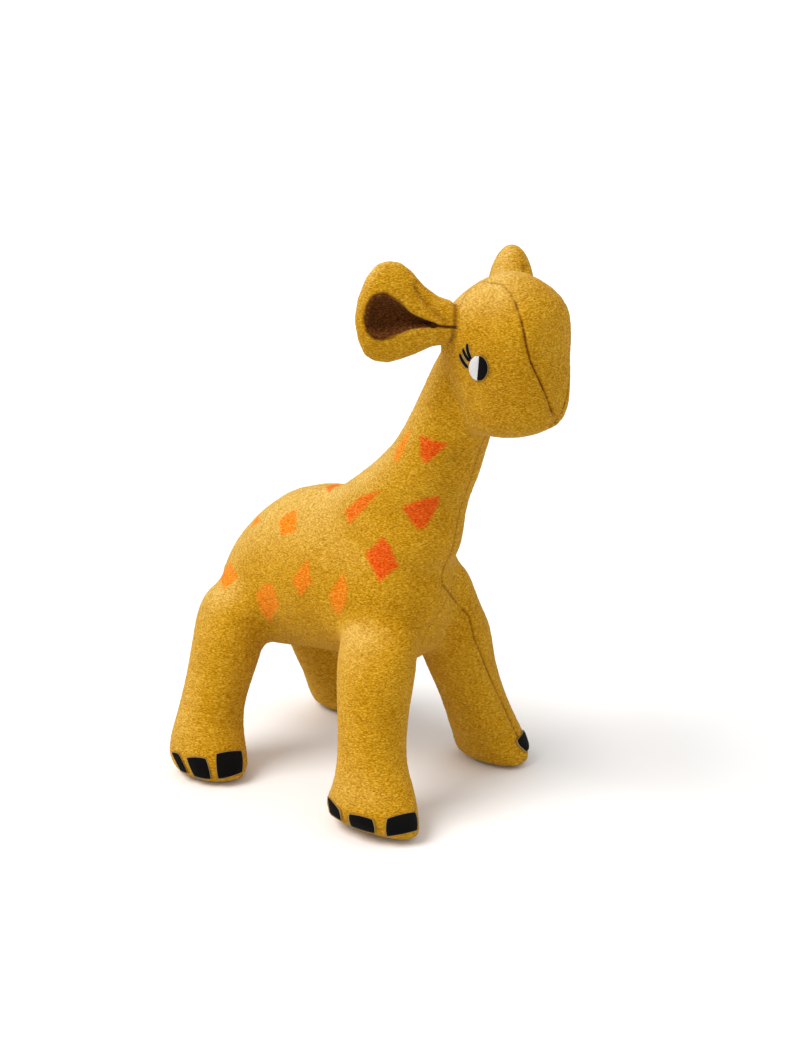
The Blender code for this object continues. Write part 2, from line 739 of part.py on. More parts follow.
def centre_on_floor(root):
    """Moves the whole toy so that the origin is the middle of its box, on the floor."""
    bpy.context.view_layer.update()
    pieces = [obj for obj in bpy.data.collections["plush_giraffe"].objects if obj.type == "MESH"]
    corners = [obj.matrix_world @ vertex.co for obj in pieces for vertex in obj.data.vertices]
    for axis in (0, 1):
        reach = [corner[axis] for corner in corners]
        root.empty.location[axis] -= (min(reach) + max(reach)) / 2


def main():
    for obj in list(bpy.data.objects):
        bpy.data.objects.remove(obj)
    for name in ("plush_giraffe", "cutters"):
        bpy.context.scene.collection.children.link(bpy.data.collections.new(name))
    cloth = material("mustard_felted_fleece", MUSTARD, 0.95)
    filling = material("polyester_fibrefill", FIBREFILL, 0.9)
    black = material("black_embroidery_thread", THREAD_BLACK, 0.6)
    white = material("white_embroidery_thread", THREAD_WHITE, 0.6)
    brown = material("dark_brown_ear_lining", EAR_BROWN, 0.95)
    trunk = Body("trunk", Vector())
    neck = Body("neck", NECK_ROOT, trunk)
    head = Body("head", HEAD_JOINT, neck)
    build_trunk(trunk, cloth, filling)
    build_neck(neck, cloth, filling)
    build_head(head, cloth, filling, black, white)
    for ear in EARS:
        build_ear(ear, Body(ear.name, ear.root, head), cloth, brown)
    for leg in LEGS:
        build_leg(leg, Body(leg.name, leg.joint, trunk), cloth, filling, black)
    build_tail(Body("tail", TAIL_ROOT, trunk), cloth)
    centre_on_floor(trunk)


main()
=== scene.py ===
"""A plush giraffe of mustard fleece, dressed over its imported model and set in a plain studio."""

from __future__ import annotations

import itertools
import logging
import math
from contextlib import contextmanager
from dataclasses import dataclass, field, replace
from enum import Enum
from typing import Any, Callable, Iterable, Iterator, Sequence

import bpy
import numpy as np
from mathutils import Matrix, Vector
from mathutils.bvhtree import BVHTree


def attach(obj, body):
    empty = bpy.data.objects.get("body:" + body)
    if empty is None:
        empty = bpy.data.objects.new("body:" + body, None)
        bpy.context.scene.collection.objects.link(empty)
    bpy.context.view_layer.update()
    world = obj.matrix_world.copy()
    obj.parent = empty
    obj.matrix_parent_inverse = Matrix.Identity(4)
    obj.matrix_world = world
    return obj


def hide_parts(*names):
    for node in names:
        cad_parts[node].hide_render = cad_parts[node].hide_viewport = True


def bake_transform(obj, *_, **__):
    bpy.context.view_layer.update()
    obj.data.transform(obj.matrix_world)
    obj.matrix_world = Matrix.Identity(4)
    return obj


LOG = logging.getLogger("plush_giraffe")
MM = 0.001
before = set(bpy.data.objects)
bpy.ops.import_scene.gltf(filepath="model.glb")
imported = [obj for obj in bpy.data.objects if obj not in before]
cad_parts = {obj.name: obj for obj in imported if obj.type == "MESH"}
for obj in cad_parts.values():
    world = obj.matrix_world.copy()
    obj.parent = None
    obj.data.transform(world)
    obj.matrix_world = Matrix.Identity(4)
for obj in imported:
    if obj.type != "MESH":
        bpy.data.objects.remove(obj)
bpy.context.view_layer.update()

Pixel = tuple[float, float]
Drawn = tuple[Pixel, ...]
Place = tuple[float, float, float]
Cells = tuple[int, int]
Outline = Callable[[float, float], Pixel]


class Side(Enum):
    """The toy's own right and left, as the sign of X."""

    RIGHT = -1
    LEFT = 1

    @property
    def word(self) -> str:
        """The side as it stands in the node names."""
        return self.name.lower()


class End(Enum):
    """The pair that a leg belongs to."""

    FRONT = "front"
    REAR = "rear"


class Lay(Enum):
    """How the rings of a stuffed form lie."""

    LEVEL = "level"
    UPRIGHT = "upright"


@dataclass(frozen=True)
class Ring:
    """One section of a stuffed form, in millimetres: its centre and its two half sizes."""

    x: float
    y: float
    z: float
    a: float
    b: float

    @property
    def centre(self) -> Vector:
        """The centre in metres."""
        return Vector((self.x, self.y, self.z)) * MM


def sections(*rows: Sequence[float]) -> tuple[Ring, ...]:
    """The rings of a stuffed form, each given by its centre's x, y and z and its two half sizes."""
    return tuple(Ring(*row) for row in rows)


def linear(code: str) -> tuple[float, float, float, float]:
    """Turns an sRGB hex colour to the linear one that a shader takes.

    Args:
        code: Six hex digits, red first.

    Returns:
        Red, green, blue and an opaque alpha.
    """
    parts = [int(code[k : k + 2], 16) / 255 for k in (0, 2, 4)]
    red, green, blue = (c / 12.92 if c <= 0.04045 else ((c + 0.055) / 1.055) ** 2.4 for c in parts)
    return red, green, blue, 1.0


def add_node(tree: Any, kind: str, settings: dict[str, Any] | None = None, **inputs: Any) -> Any:
    """Adds a node, sets its properties, and sets or links its inputs.

    Args:
        tree: The node tree of a material or of the world.
        kind: The node's type, such as Math for ShaderNodeMath.
        settings: Properties of the node itself.
        **inputs: Values or output sockets by input name, with _ for a space, or i0, i1 by place.

    Returns:
        The new node.
    """
    node = tree.nodes.new(f"ShaderNode{kind}")
    for name, value in (settings or {}).items():
        setattr(node, name, value)
    for name, value in inputs.items():
        key = int(name[1:]) if name[0] == "i" and name[1:].isdigit() else name.replace("_", " ")
        if isinstance(value, bpy.types.NodeSocket):
            tree.links.new(value, node.inputs[key])
        else:
            node.inputs[key].default_value = value
    return node


def empty_tree(holder: Any) -> Any:
    """Empties the node tree of a material or of the world.

    Args:
        holder: The material or the world.

    Returns:
        Its tree, without a node.
    """
    holder.use_nodes = True
    holder.node_tree.nodes.clear()
    return holder.node_tree


def select_only(*objects: Any) -> None:
    """Selects these objects and nothing else, the first of them active.

    Args:
        *objects: The objects to select.
    """
    if bpy.context.object and bpy.context.object.mode != "OBJECT":
        bpy.ops.object.mode_set(mode="OBJECT")
    bpy.ops.object.select_all(action="DESELECT")
    for item in objects:
        item.select_set(True)
    if objects:
        bpy.context.view_layer.objects.active = objects[0]


@contextmanager
def editing(piece: Any, select: bool = True) -> Iterator[None]:
    """Keeps one piece in edit mode.

    Args:
        piece: The mesh object.
        select: Whether all of it is selected first.

    Yields:
        Nothing.
    """
    select_only(piece)
    bpy.ops.object.mode_set(mode="EDIT")
    if select:
        bpy.ops.mesh.select_all(action="SELECT")
    yield
    bpy.ops.object.mode_set(mode="OBJECT")


def modify(piece: Any, kind: str, **settings: Any) -> None:
    """Gives a piece one modifier and applies it.

    Args:
        piece: The mesh object.
        kind: The modifier's type.
        **settings: The modifier's properties.
    """
    modifier = piece.modifiers.new(kind.title(), kind)
    for name, value in settings.items():
        setattr(modifier, name, value)
    select_only(piece)
    bpy.ops.object.modifier_apply(modifier=modifier.name)


def even_out(piece: Any, voxel: float, passes: int) -> None:
    """Remeshes a piece into even cells and smooths it.

    Args:
        piece: The mesh object.
        voxel: Size of a cell, in metres.
        passes: How often it is smoothed.
    """
    modify(piece, "REMESH", mode="VOXEL", voxel_size=voxel)
    modify(piece, "SMOOTH", factor=0.5, iterations=passes)


def copy_of(piece: Any, name: str) -> Any:
    """Copies a piece.

    Args:
        piece: The mesh object.
        name: The copy's name.

    Returns:
        The copy, with its own mesh.
    """
    twin = piece.copy()
    twin.data = piece.data.copy()
    twin.name = name
    bpy.context.scene.collection.objects.link(twin)
    return twin


def clothe(piece: Any, finish: Any) -> None:
    """Gives a finished piece its material and reports it.

    Args:
        piece: The mesh object.
        finish: Its material.
    """
    piece.data.materials.clear()
    piece.data.materials.append(finish)
    LOG.info("%s: %d faces", piece.name, len(piece.data.polygons))


def stuffed_form(
    name: str, rings: Sequence[Ring], lay: Lay = Lay.LEVEL, sides: int = 40, squareness: float = 0.0
) -> Any:
    """Draws a closed form out of a disc, ring by ring.

    Args:
        name: The object's name.
        rings: The sections in order.
        lay: Whether the rings lie level or stand upright across the toy.
        sides: Corners round each ring.
        squareness: Share by which a ring stands out between its axes.

    Returns:
        The mesh object, at the origin.
    """
    select_only()
    turn = math.pi / 2 if lay is Lay.UPRIGHT else 0.0
    bpy.ops.mesh.primitive_circle_add(vertices=sides, radius=1.0, fill_type="NGON", rotation=(turn, 0, 0))
    form = bpy.context.object
    form.name = name
    bpy.ops.object.transform_apply(location=True, rotation=True, scale=True)
    disc = points_of(form)
    across = np.sort(np.abs(disc), axis=1)[:, 1:]
    place_points(form, disc * (1 + squareness * 4 * np.prod(across, axis=1) ** 2)[:, None])

    def scale(a: float, b: float) -> Place:
        """The two half sizes as a scale along the axes."""
        return (a, 1.0, b) if lay is Lay.UPRIGHT else (a, b, 1.0)

    with editing(form):
        first = rings[0]
        bpy.ops.transform.resize(value=scale(first.a * MM, first.b * MM), center_override=(0, 0, 0))
        bpy.ops.transform.translate(value=first.centre)
        for before, after in itertools.pairwise(rings):
            step = after.centre - before.centre
            bpy.ops.mesh.extrude_region_move(TRANSFORM_OT_translate={"value": step})
            ratio = scale(after.a / before.a, after.b / before.b)
            bpy.ops.transform.resize(value=ratio, center_override=after.centre)
        bpy.ops.mesh.select_all(action="SELECT")
        bpy.ops.mesh.normals_make_consistent(inside=False)
    return form


def points_of(piece: Any) -> np.ndarray:
    """The piece's points as an array of rows."""
    flat = np.empty(len(piece.data.vertices) * 3, np.float64)
    piece.data.vertices.foreach_get("co", flat)
    return flat.reshape(-1, 3)


def normals_of(piece: Any) -> np.ndarray:
    """The piece's point normals as an array of rows."""
    flat = np.empty(len(piece.data.vertices) * 3, np.float32)
    piece.data.vertices.foreach_get("normal", flat)
    return flat.reshape(-1, 3).astype(np.float64)


def place_points(piece: Any, points: np.ndarray) -> None:
    """Moves the piece's points to these rows."""
    piece.data.vertices.foreach_set("co", points.astype(np.float32).ravel())
    piece.data.update()


def write_attribute(piece: Any, name: str, values: np.ndarray) -> None:
    """Keeps one number for each point of the piece, for its material.

    Args:
        piece: The mesh object.
        name: The attribute's name.
        values: One number for each point.
    """
    attribute = piece.data.attributes.get(name) or piece.data.attributes.new(name, "FLOAT", "POINT")
    attribute.data.foreach_set("value", values.astype(np.float32))


def tufts(points: np.ndarray, size: Sequence[float], seed: int) -> np.ndarray:
    """Smooth seeded noise over points in space, from -1 to 1.

    Args:
        points: Rows of places in metres.
        size: Distance between tufts along each axis, in millimetres.
        seed: Picks the pattern.

    Returns:
        One value for each row.
    """
    cells = points / (np.array(size) * MM)
    base = np.floor(cells).astype(np.int64)
    part = cells - base
    part = part * part * (3 - 2 * part)
    total = np.zeros(len(points))
    for corner in itertools.product((0, 1), repeat=3):
        at = base + corner
        # Large factors scatter the corner's place into a value of its own, the same in every run.
        mixed = (at[:, 0] * 73856093) ^ (at[:, 1] * 19349663) ^ (at[:, 2] * 83492791) ^ (seed * 7919)
        mixed = ((mixed ^ (mixed >> 13)) * 1274126177) & 0x7FFFFFFF
        value = ((mixed ^ (mixed >> 11)) & 0xFFFF) / 32767.5 - 1
        total += value * np.prod(np.where(corner, part, 1 - part), axis=1)
    return total


def brush_up(piece: Any, points: np.ndarray, normals: np.ndarray, depth: float, lift: Any = 0.0) -> None:
    """Raises the nap: tufts about 2 mm apart, longer across than they are high, over a slower swell.

    Args:
        piece: The mesh object.
        points: Its points as they lie without the nap.
        normals: Which way the nap stands at each point.
        depth: The nap's depth, in metres.
        lift: How far the points are lifted besides, in metres.
    """
    height = tufts(points, (1.7, 1.7, 1.0), 3) * 0.75 + tufts(points, (3.6, 3.6, 2.4), 5) * 0.4
    place_points(piece, points + normals * (lift + height * depth)[:, None])
    write_attribute(piece, "nap", np.clip(height * 0.55 + 0.5, 0, 1))


def faded(normals: np.ndarray) -> np.ndarray:
    """Painted highlight: how much paler the nap is painted, most where it faces up and to the light.

    Args:
        normals: Rows of unit normals.

    Returns:
        A share for each row.
    """
    light_from, start, span, most = np.array((-0.35, 0.35, 0.87)), 0.35, 0.6, 0.42
    share = np.clip((normals @ light_from - start) / span, 0, 1)
    return share * share * most


def falloff(gap: np.ndarray, reach: float) -> np.ndarray:
    """Fades from 1 at no distance to nothing well past a reach."""
    return np.exp(-((gap / reach) ** 2))


def distance_to_line(points: np.ndarray, line: np.ndarray) -> np.ndarray:
    """Distance of each point to a polyline.

    Args:
        points: Rows of places.
        line: The polyline's corners as rows.

    Returns:
        One distance for each row of points.
    """
    nearest = np.full(len(points), np.inf)
    for a, b in itertools.pairwise(line):
        along = b - a
        share = np.clip(((points - a) @ along) / max(along @ along, 1e-12), 0, 1)
        nearest = np.minimum(nearest, np.linalg.norm(points - a - share[:, None] * along, axis=1))
    return nearest


@dataclass(frozen=True)
class Sight:
    """The photograph's point of view, which places what is seen on the skin."""

    place: Place = (-1.107, -0.8897, 0.6675)
    target: Place = (0.0, -0.01524, 0.159)
    lens: float = 89.49
    sensor: float = 36.0
    width: int = 800
    height: int = 1056
    surface: Any = None
    near_cm: int = 140
    far_cm: int = 180
    carry: Matrix = field(default_factory=lambda: Matrix.Identity(4))

    def carried(self, x: float = 0.0, y: float = 0.0, wide: float = 1.0, deep: float = 1.0) -> Sight:
        """The same sight of the toy's left side, where a foot may lie and measure otherwise.

        Args:
            x: How far further from the middle the left foot's centre lies, in metres, at this width.
            y: How far further back it lies, at this depth.
            wide: Its width as a share of the right one's.
            deep: Its depth as a share of the right one's.

        Returns:
            The sight, its rays carried over.
        """
        return replace(self, carry=Matrix.Translation((x, y, 0)) @ Matrix.Diagonal((-wide, deep, 1, 1)))

    def add_camera(self) -> None:
        """Makes the scene's camera."""
        camera = bpy.data.cameras.new("Camera")
        camera.lens = self.lens
        camera.sensor_width = self.sensor
        camera.clip_end = 50
        holder = bpy.data.objects.new("Camera", camera)
        bpy.context.scene.collection.objects.link(holder)
        ahead = Vector(self.target) - Vector(self.place)
        holder.location = self.place
        holder.rotation_euler = ahead.to_track_quat("-Z", "Y").to_euler()
        bpy.context.scene.camera = holder

    def ray(self, pixel: Pixel) -> tuple[Vector, Vector]:
        """Where a pixel of the photograph looks from, and along what.

        Args:
            pixel: Across and down the photograph.

        Returns:
            The ray's start and its unit direction.
        """
        ahead = (Vector(self.target) - Vector(self.place)).normalized()
        right = ahead.cross(Vector((0, 0, 1))).normalized()
        up = right.cross(ahead)
        focal = self.lens / self.sensor * self.height
        across, down = pixel[0] - self.width / 2, pixel[1] - self.height / 2
        along = self.carry.to_3x3() @ (ahead * focal + right * across - up * down)
        return self.carry @ Vector(self.place), along.normalized()

    def on(self, pixel: Pixel) -> tuple[Vector, Vector]:
        """The place on the skin that a pixel shows, or the nearest to its ray, tried at each centimetre.

        Args:
            pixel: Across and down the photograph.

        Returns:
            The place and the skin's normal there.
        """
        start, along = self.ray(pixel)
        place, normal, _, _ = self.surface.ray_cast(start, along)
        if place is None:
            steps = (start + along * step * 0.01 for step in range(self.near_cm, self.far_cm + 1))
            found = [self.surface.find_nearest(step) for step in steps]
            place, normal = min((hit for hit in found if hit[0] is not None), key=lambda hit: hit[3])[:2]
        return place, normal


Shades = tuple[str, str, str]
# Tones of the mustard fleece where a highlight is painted pale, where it is printed, and where shade and wear
# are painted browner: its pits, its tufts and their tips.
HIGHLIGHT_TONES: Shades = ("d6a846", "f2cf78", "ffeaac")
RED: Shades = ("c43a06", "ea590c", "fe8136")
AMBER: Shades = ("cb650a", "f08411", "ffad44")
SHADE_AND_WEAR_BROWNS: Shades = ("3a1a07", "5a2e0d", "7a481a")
SEAM_SHADE = "8f6420"


@dataclass(frozen=True)
class Fleece:
    """Boiled-wool fleece: knitted, felted and brushed, so it shows as matt tufts with darker pits.

    Each colour is given for the pits between the tufts, their sides and their tips; the brown lining's
    colours are painted shade."""

    name: str
    pit: str
    body: str
    tip: str
    sheen: float
    printed: bool = False

    def make(self) -> Any:
        """Makes the material.

        Returns:
            The fleece, with the nap, the seams and the printed patches read from attributes.
        """
        material = bpy.data.materials.new(self.name)
        tree = empty_tree(material)
        names = ("nap", "seam", *(("faded", "warmth", "patch", "dusk") if self.printed else ()))
        read = {n: add_node(tree, "Attribute", {"attribute_name": n}).outputs["Fac"] for n in names}
        place = add_node(tree, "TexCoord").outputs["Object"]
        # Rows of loops 1.5 mm wide and 0.6 mm high, and fibres of 0.7 mm by 0.3 mm, break up the colour.
        # Real fibres are finer and wouldn't show. The third noise is handling, in clouds of 26 mm.
        flat = add_node(tree, "Mapping", Vector=place, Scale=(1.0, 1.0, 2.6)).outputs[0]
        loops, fibre, worn = (
            add_node(tree, "TexNoise", Vector=where, Scale=scale, Detail=detail).outputs["Fac"]
            for where, scale, detail in ((flat, 660.0, 1.0), (flat, 1500.0, 1.0), (place, 38.0, 3.0))
        )
        sums = [loops]
        for part, share in ((fibre, 0.5), (read["nap"], 0.14), (worn, 0.22)):
            node = add_node(tree, "Math", {"operation": "MULTIPLY_ADD"}, i0=part, i1=share, i2=sums[-1])
            sums.append(node.outputs[0])
        relief, height = sums[1], sums[-1]
        # The four come to 0.93 on average, and the middle of the ramps is at 0.5.
        shade = add_node(tree, "Math", {"operation": "SUBTRACT"}, i0=height, i1=0.43).outputs[0]
        colour = self.tone(tree, shade, self.pit, self.body, self.tip)
        if self.printed:
            # Painted highlight: paler tones where the nap faces up and to the light.
            colour = self.blend(tree, "MIX", read["faded"], colour, self.tone(tree, shade, *HIGHLIGHT_TONES))
            red, amber = self.tone(tree, shade, *RED), self.tone(tree, shade, *AMBER)
            ink = self.blend(tree, "MIX", read["warmth"], amber, red)
            colour = self.blend(tree, "MIX", read["patch"], colour, ink)
            # Painted shade, with handling wear on the skin: browner tones in the ear's hollow and creases,
            # and on the neck and cheek.
            colour = self.blend(tree, "MIX", read["dusk"], colour, self.tone(tree, shade, *SHADE_AND_WEAR_BROWNS))
        colour = self.blend(tree, "MULTIPLY", read["seam"], colour, linear(SEAM_SHADE))
        bump = add_node(tree, "Bump", Strength=1.0, Distance=0.0006, Height=relief)
        surface = add_node(
            tree,
            "BsdfPrincipled",
            Base_Color=colour,
            Roughness=0.95,
            Normal=bump.outputs[0],
            Sheen_Weight=self.sheen,
            Sheen_Roughness=0.35,
            Sheen_Tint=linear("ffdc90"),
            Specular_IOR_Level=0.04,
        )
        add_node(tree, "OutputMaterial", Surface=surface.outputs[0])
        return material

    @staticmethod
    def tone(tree: Any, shade: Any, pit: str, body: str, tip: str) -> Any:
        """Colours the nap from its pits to its tips.

        Args:
            tree: The material's node tree.
            shade: The socket that gives the nap's height.
            pit: Colour of the pits.
            body: Colour of the tufts.
            tip: Colour of their tips.

        Returns:
            The colour socket.
        """
        ramp = add_node(tree, "ValToRGB", Fac=shade)
        stops = ramp.color_ramp.elements
        stops[0].position, stops[0].color = 0.22, linear(pit)
        stops[1].position, stops[1].color = 0.80, linear(tip)
        middle = stops.new(0.5)
        middle.color = linear(body)
        return ramp.outputs[0]

    @staticmethod
    def blend(tree: Any, way: str, share: Any, below: Any, above: Any) -> Any:
        """Lays one colour over another.

        Args:
            tree: The material's node tree.
            way: The mix's blend type.
            share: How much of the upper colour shows.
            below: The lower colour.
            above: The upper colour.

        Returns:
            The colour socket.
        """
        mix = {"data_type": "RGBA", "blend_type": way}
        return add_node(tree, "Mix", mix, i0=share, i6=below, i7=above).outputs[2]


@dataclass(frozen=True)
class Thread:
    """Rayon embroidery thread in satin stitch: parallel strands with a soft gloss along them."""

    name: str
    strand: str
    gap: str
    strands: float = 16.0

    def make(self) -> Any:
        """Makes the material.

        Returns:
            The thread, its strands drawn along the piece's own UV map.
        """
        material = bpy.data.materials.new(self.name)
        tree = empty_tree(material)
        place = add_node(tree, "UVMap").outputs[0]
        # Strands of 0.4 mm, some lying a little off the straight.
        bands = {"bands_direction": "X"}
        uneven = {"Distortion": 1.5, "Detail": 1.0}
        wave = add_node(tree, "TexWave", bands, Vector=place, Scale=self.strands, **uneven).outputs["Fac"]
        ramp = add_node(tree, "ValToRGB", Fac=wave)
        ramp.color_ramp.elements[0].color = linear(self.gap)
        ramp.color_ramp.elements[1].color = linear(self.strand)
        bump = add_node(tree, "Bump", Strength=0.6, Distance=0.0002, Height=wave)
        surface = add_node(
            tree,
            "BsdfPrincipled",
            Base_Color=ramp.outputs[0],
            Roughness=0.75,
            Normal=bump.outputs[0],
            Specular_IOR_Level=0.08,
        )
        add_node(tree, "OutputMaterial", Surface=surface.outputs[0])
        return material


@dataclass(frozen=True)
class Finishes:
    """The materials of the toy, made once."""

    mustard: Any
    lining: Any
    black: Any
    white: Any
    tan: Any

    @classmethod
    def make(cls) -> Finishes:
        """Makes every finish."""
        mustard = ("a06b07", "cb9110", "ecbc40")
        # The lining's dark browns are painted shade for the ear's deep hollow.
        painted_shade = ("3c1c0a", "613514", "85532a")
        return cls(
            mustard=Fleece("boiled_wool_fleece_mustard", *mustard, sheen=0.45, printed=True).make(),
            lining=Fleece("boiled_wool_fleece_brown", *painted_shade, sheen=0.05).make(),
            black=Thread("embroidery_thread_black", "100e0d", "050404").make(),
            white=Thread("embroidery_thread_white", "ffffff", "e9e7e0").make(),
            tan=Thread("embroidery_thread_tan", "b9995f", "97793f").make(),
        )


@dataclass
class Trunk:
    """The barrel of the trunk, from the chest to the rump."""

    rings: tuple[Ring, ...] = sections(
        (0, -46, 127, 6, 9), (0, -44, 125, 14, 18), (0, -39, 123, 26, 31), (0, -29, 122.7, 36, 41.2),
        (0, -14, 123, 40, 46.5), (0, 2, 124.5, 40.5, 48.5), (0, 20, 125.7, 40.5, 50.8),
        (0, 44, 122.6, 40, 50.4), (0, 64, 117.3, 39, 48.8), (0, 80, 111, 37, 43), (0, 92, 106, 32, 35.5),
        (0, 102, 102, 24, 26), (0, 108, 100, 14, 15), (0, 110.5, 99, 6, 7),
    )

    def form(self) -> Any:
        """Builds the barrel."""
        return stuffed_form("barrel", self.rings, Lay.UPRIGHT)


@dataclass
class Neck:
    """The neck, from inside the chest to inside the head."""

    root: Place = (0.0, -0.02224, 0.163)
    along: Place = (0.0, -0.3746, 0.9272)
    lower_bend: tuple[float, float] = (-0.005, 0.032)
    split: float = 0.036
    upper_bend: tuple[float, float] = (0.038, 0.080)
    top: float = 0.082
    rings: tuple[Ring, ...] = sections(
        (0, -18, 128, 12, 12), (0, -20, 138, 25, 24), (0, -19, 150, 30.5, 33), (0, -11, 162, 31, 44.5),
        (0, -14, 174, 28.5, 43.5), (0, -23.5, 186, 28, 37), (0, -33.5, 198, 26.8, 32.5),
        (0, -42.5, 212, 25.3, 27.5), (0, -48.8, 224, 24, 25.6), (0, -53.5, 236, 22.5, 24),
        (0, -58, 248, 21, 22.5), (0, -64, 262, 20, 22), (0, -70, 274, 19, 21), (0, -75, 286, 16, 17),
        (0, -78, 293, 8, 8),
    )

    def form(self) -> Any:
        """Builds the neck."""
        return stuffed_form("neck_form", self.rings)

    def at(self, distance: float) -> Vector:
        """The point of the neck's axis at a distance from its root, in metres."""
        return Vector(self.root) + Vector(self.along) * distance


@dataclass
class Head:
    """The head, from the chin to the crown, squared a little by its middle gusset."""

    squareness: float = 0.10
    rings: tuple[Ring, ...] = sections(
        (0, -80, 229.3, 7, 8), (0, -85.5, 232.2, 15.5, 19.2), (0, -93.6, 238.6, 21.6, 26),
        (0, -95.3, 248.5, 24.6, 28), (0, -93, 258, 26.3, 30.2), (0, -90.5, 266, 27.5, 32.5),
        (0, -88, 274, 28.6, 34), (0, -87.5, 283, 30, 34.5), (0, -88.5, 292, 30.5, 33),
        (0, -89.5, 301, 29.5, 30.5), (0, -90.5, 309, 24.7, 24), (0, -90.5, 315, 17.8, 16.5),
        (0, -90.5, 319.5, 10.5, 9.5), (0, -90.5, 321.3, 4, 4),
    )

    def form(self) -> Any:
        """Builds the head."""
        return stuffed_form("head_form", self.rings, squareness=self.squareness)


@dataclass
class Leg:
    """A leg from its sole to its haunch inside the trunk, its rings measured outwards from the middle."""

    side: Side
    end: End
    rings: tuple[Ring, ...]
    bend: tuple[float, float] = (0.064, 0.040)

    @property
    def body(self) -> str:
        """The CAD body that carries the leg."""
        return f"{self.side.word}_{self.end.value}_leg"

    def form(self) -> Any:
        """Builds the leg."""
        placed = [Ring(r.x * self.side.value, r.y, r.z, r.a, r.b) for r in self.rings]
        return stuffed_form(f"{self.body}_form", placed)


RIGHT_FRONT_LEG = sections(
    (57.6, -45, 0.5, 8.5, 27.2), (58.6, -44.5, 3, 12.2, 31), (59.8, -43.2, 8, 17.5, 32),
    (60.5, -42.4, 14, 20.8, 30.4), (58.6, -42.3, 20, 22, 27), (55.7, -40, 27, 21.2, 23.5),
    (52.5, -36.5, 34, 20.6, 21), (49.5, -34, 42, 20.4, 19.7), (46.5, -32, 50, 20.6, 19.6),
    (43.5, -30, 59, 21.2, 20.2), (40.5, -28.3, 69, 21.8, 21.2), (37.5, -27, 80, 22.5, 22.5),
    (34, -25.5, 92, 22.5, 23.5), (29, -23.5, 104, 21, 22.5), (23, -21, 116, 15, 17),
)
LEFT_FRONT_LEG = sections(
    (59, -40.8, 0.5, 11, 22), (59.4, -40, 3, 14.5, 26), (60, -38.4, 8, 17.5, 26.2),
    (59.8, -36.4, 14, 18.8, 24), (58, -34.9, 20, 19.8, 22.8), (54.6, -34.6, 27, 20, 21.6),
    (52, -33.7, 34, 20, 20.3), (49.1, -32.5, 42, 20.2, 19.6), (46.3, -31.3, 50, 20.5, 19.5),
    (43.4, -29.7, 59, 21, 20.1), (40.3, -28, 69, 21.5, 21.1), (37.6, -27, 80, 22.3, 22.5),
    (34.4, -25.8, 92, 22.6, 23.8), (30, -24.5, 104, 21, 23), (26, -24.5, 117, 18, 22),
    (22, -26, 130, 15, 19), (18, -25, 138, 9, 12),
)
RIGHT_REAR_LEG = sections(
    (61, 79.2, 0.5, 13.5, 22), (61.2, 79.7, 3, 17.5, 25), (61, 81, 8, 20.3, 25.8),
    (60.8, 82.3, 14, 21.5, 25), (59.3, 83.6, 20, 21.6, 23.5), (57, 85, 27, 21.3, 21.2),
    (54.2, 86, 34, 20.8, 19.8), (50.8, 86.2, 42, 20.5, 19.3), (47.6, 86, 50, 20.7, 19.5),
    (43.8, 85.6, 59, 21.2, 20.1), (40.3, 85, 69, 21.8, 20.9), (37, 84.2, 80, 22.3, 21.8),
    (33.5, 83.7, 92, 22.5, 22.5), (30, 81.5, 104, 21, 22), (24, 77, 115, 14, 15),
)
LEFT_REAR_LEG = sections(
    (65.5, 81.5, 0.5, 13, 17), (65.3, 81.5, 3, 16.5, 20.5), (65, 81.5, 8, 18.7, 23.3),
    (64, 81.8, 14, 19.8, 23.7), (61.7, 82.2, 20, 20.3, 22.5), (58.3, 82.7, 27, 20.5, 20.8),
    (54.6, 83.5, 34, 20.5, 19.8), (50.8, 84.3, 42, 20.5, 19.5), (47.2, 84.5, 50, 20.7, 19.6),
    (43.5, 84.4, 59, 21.2, 20.1), (40, 84.2, 69, 21.8, 20.9), (36.8, 84, 80, 22.3, 21.8),
    (33.5, 83.5, 92, 22.5, 22.5), (30, 81.5, 104, 21, 22), (24, 77, 115, 14, 15),
)


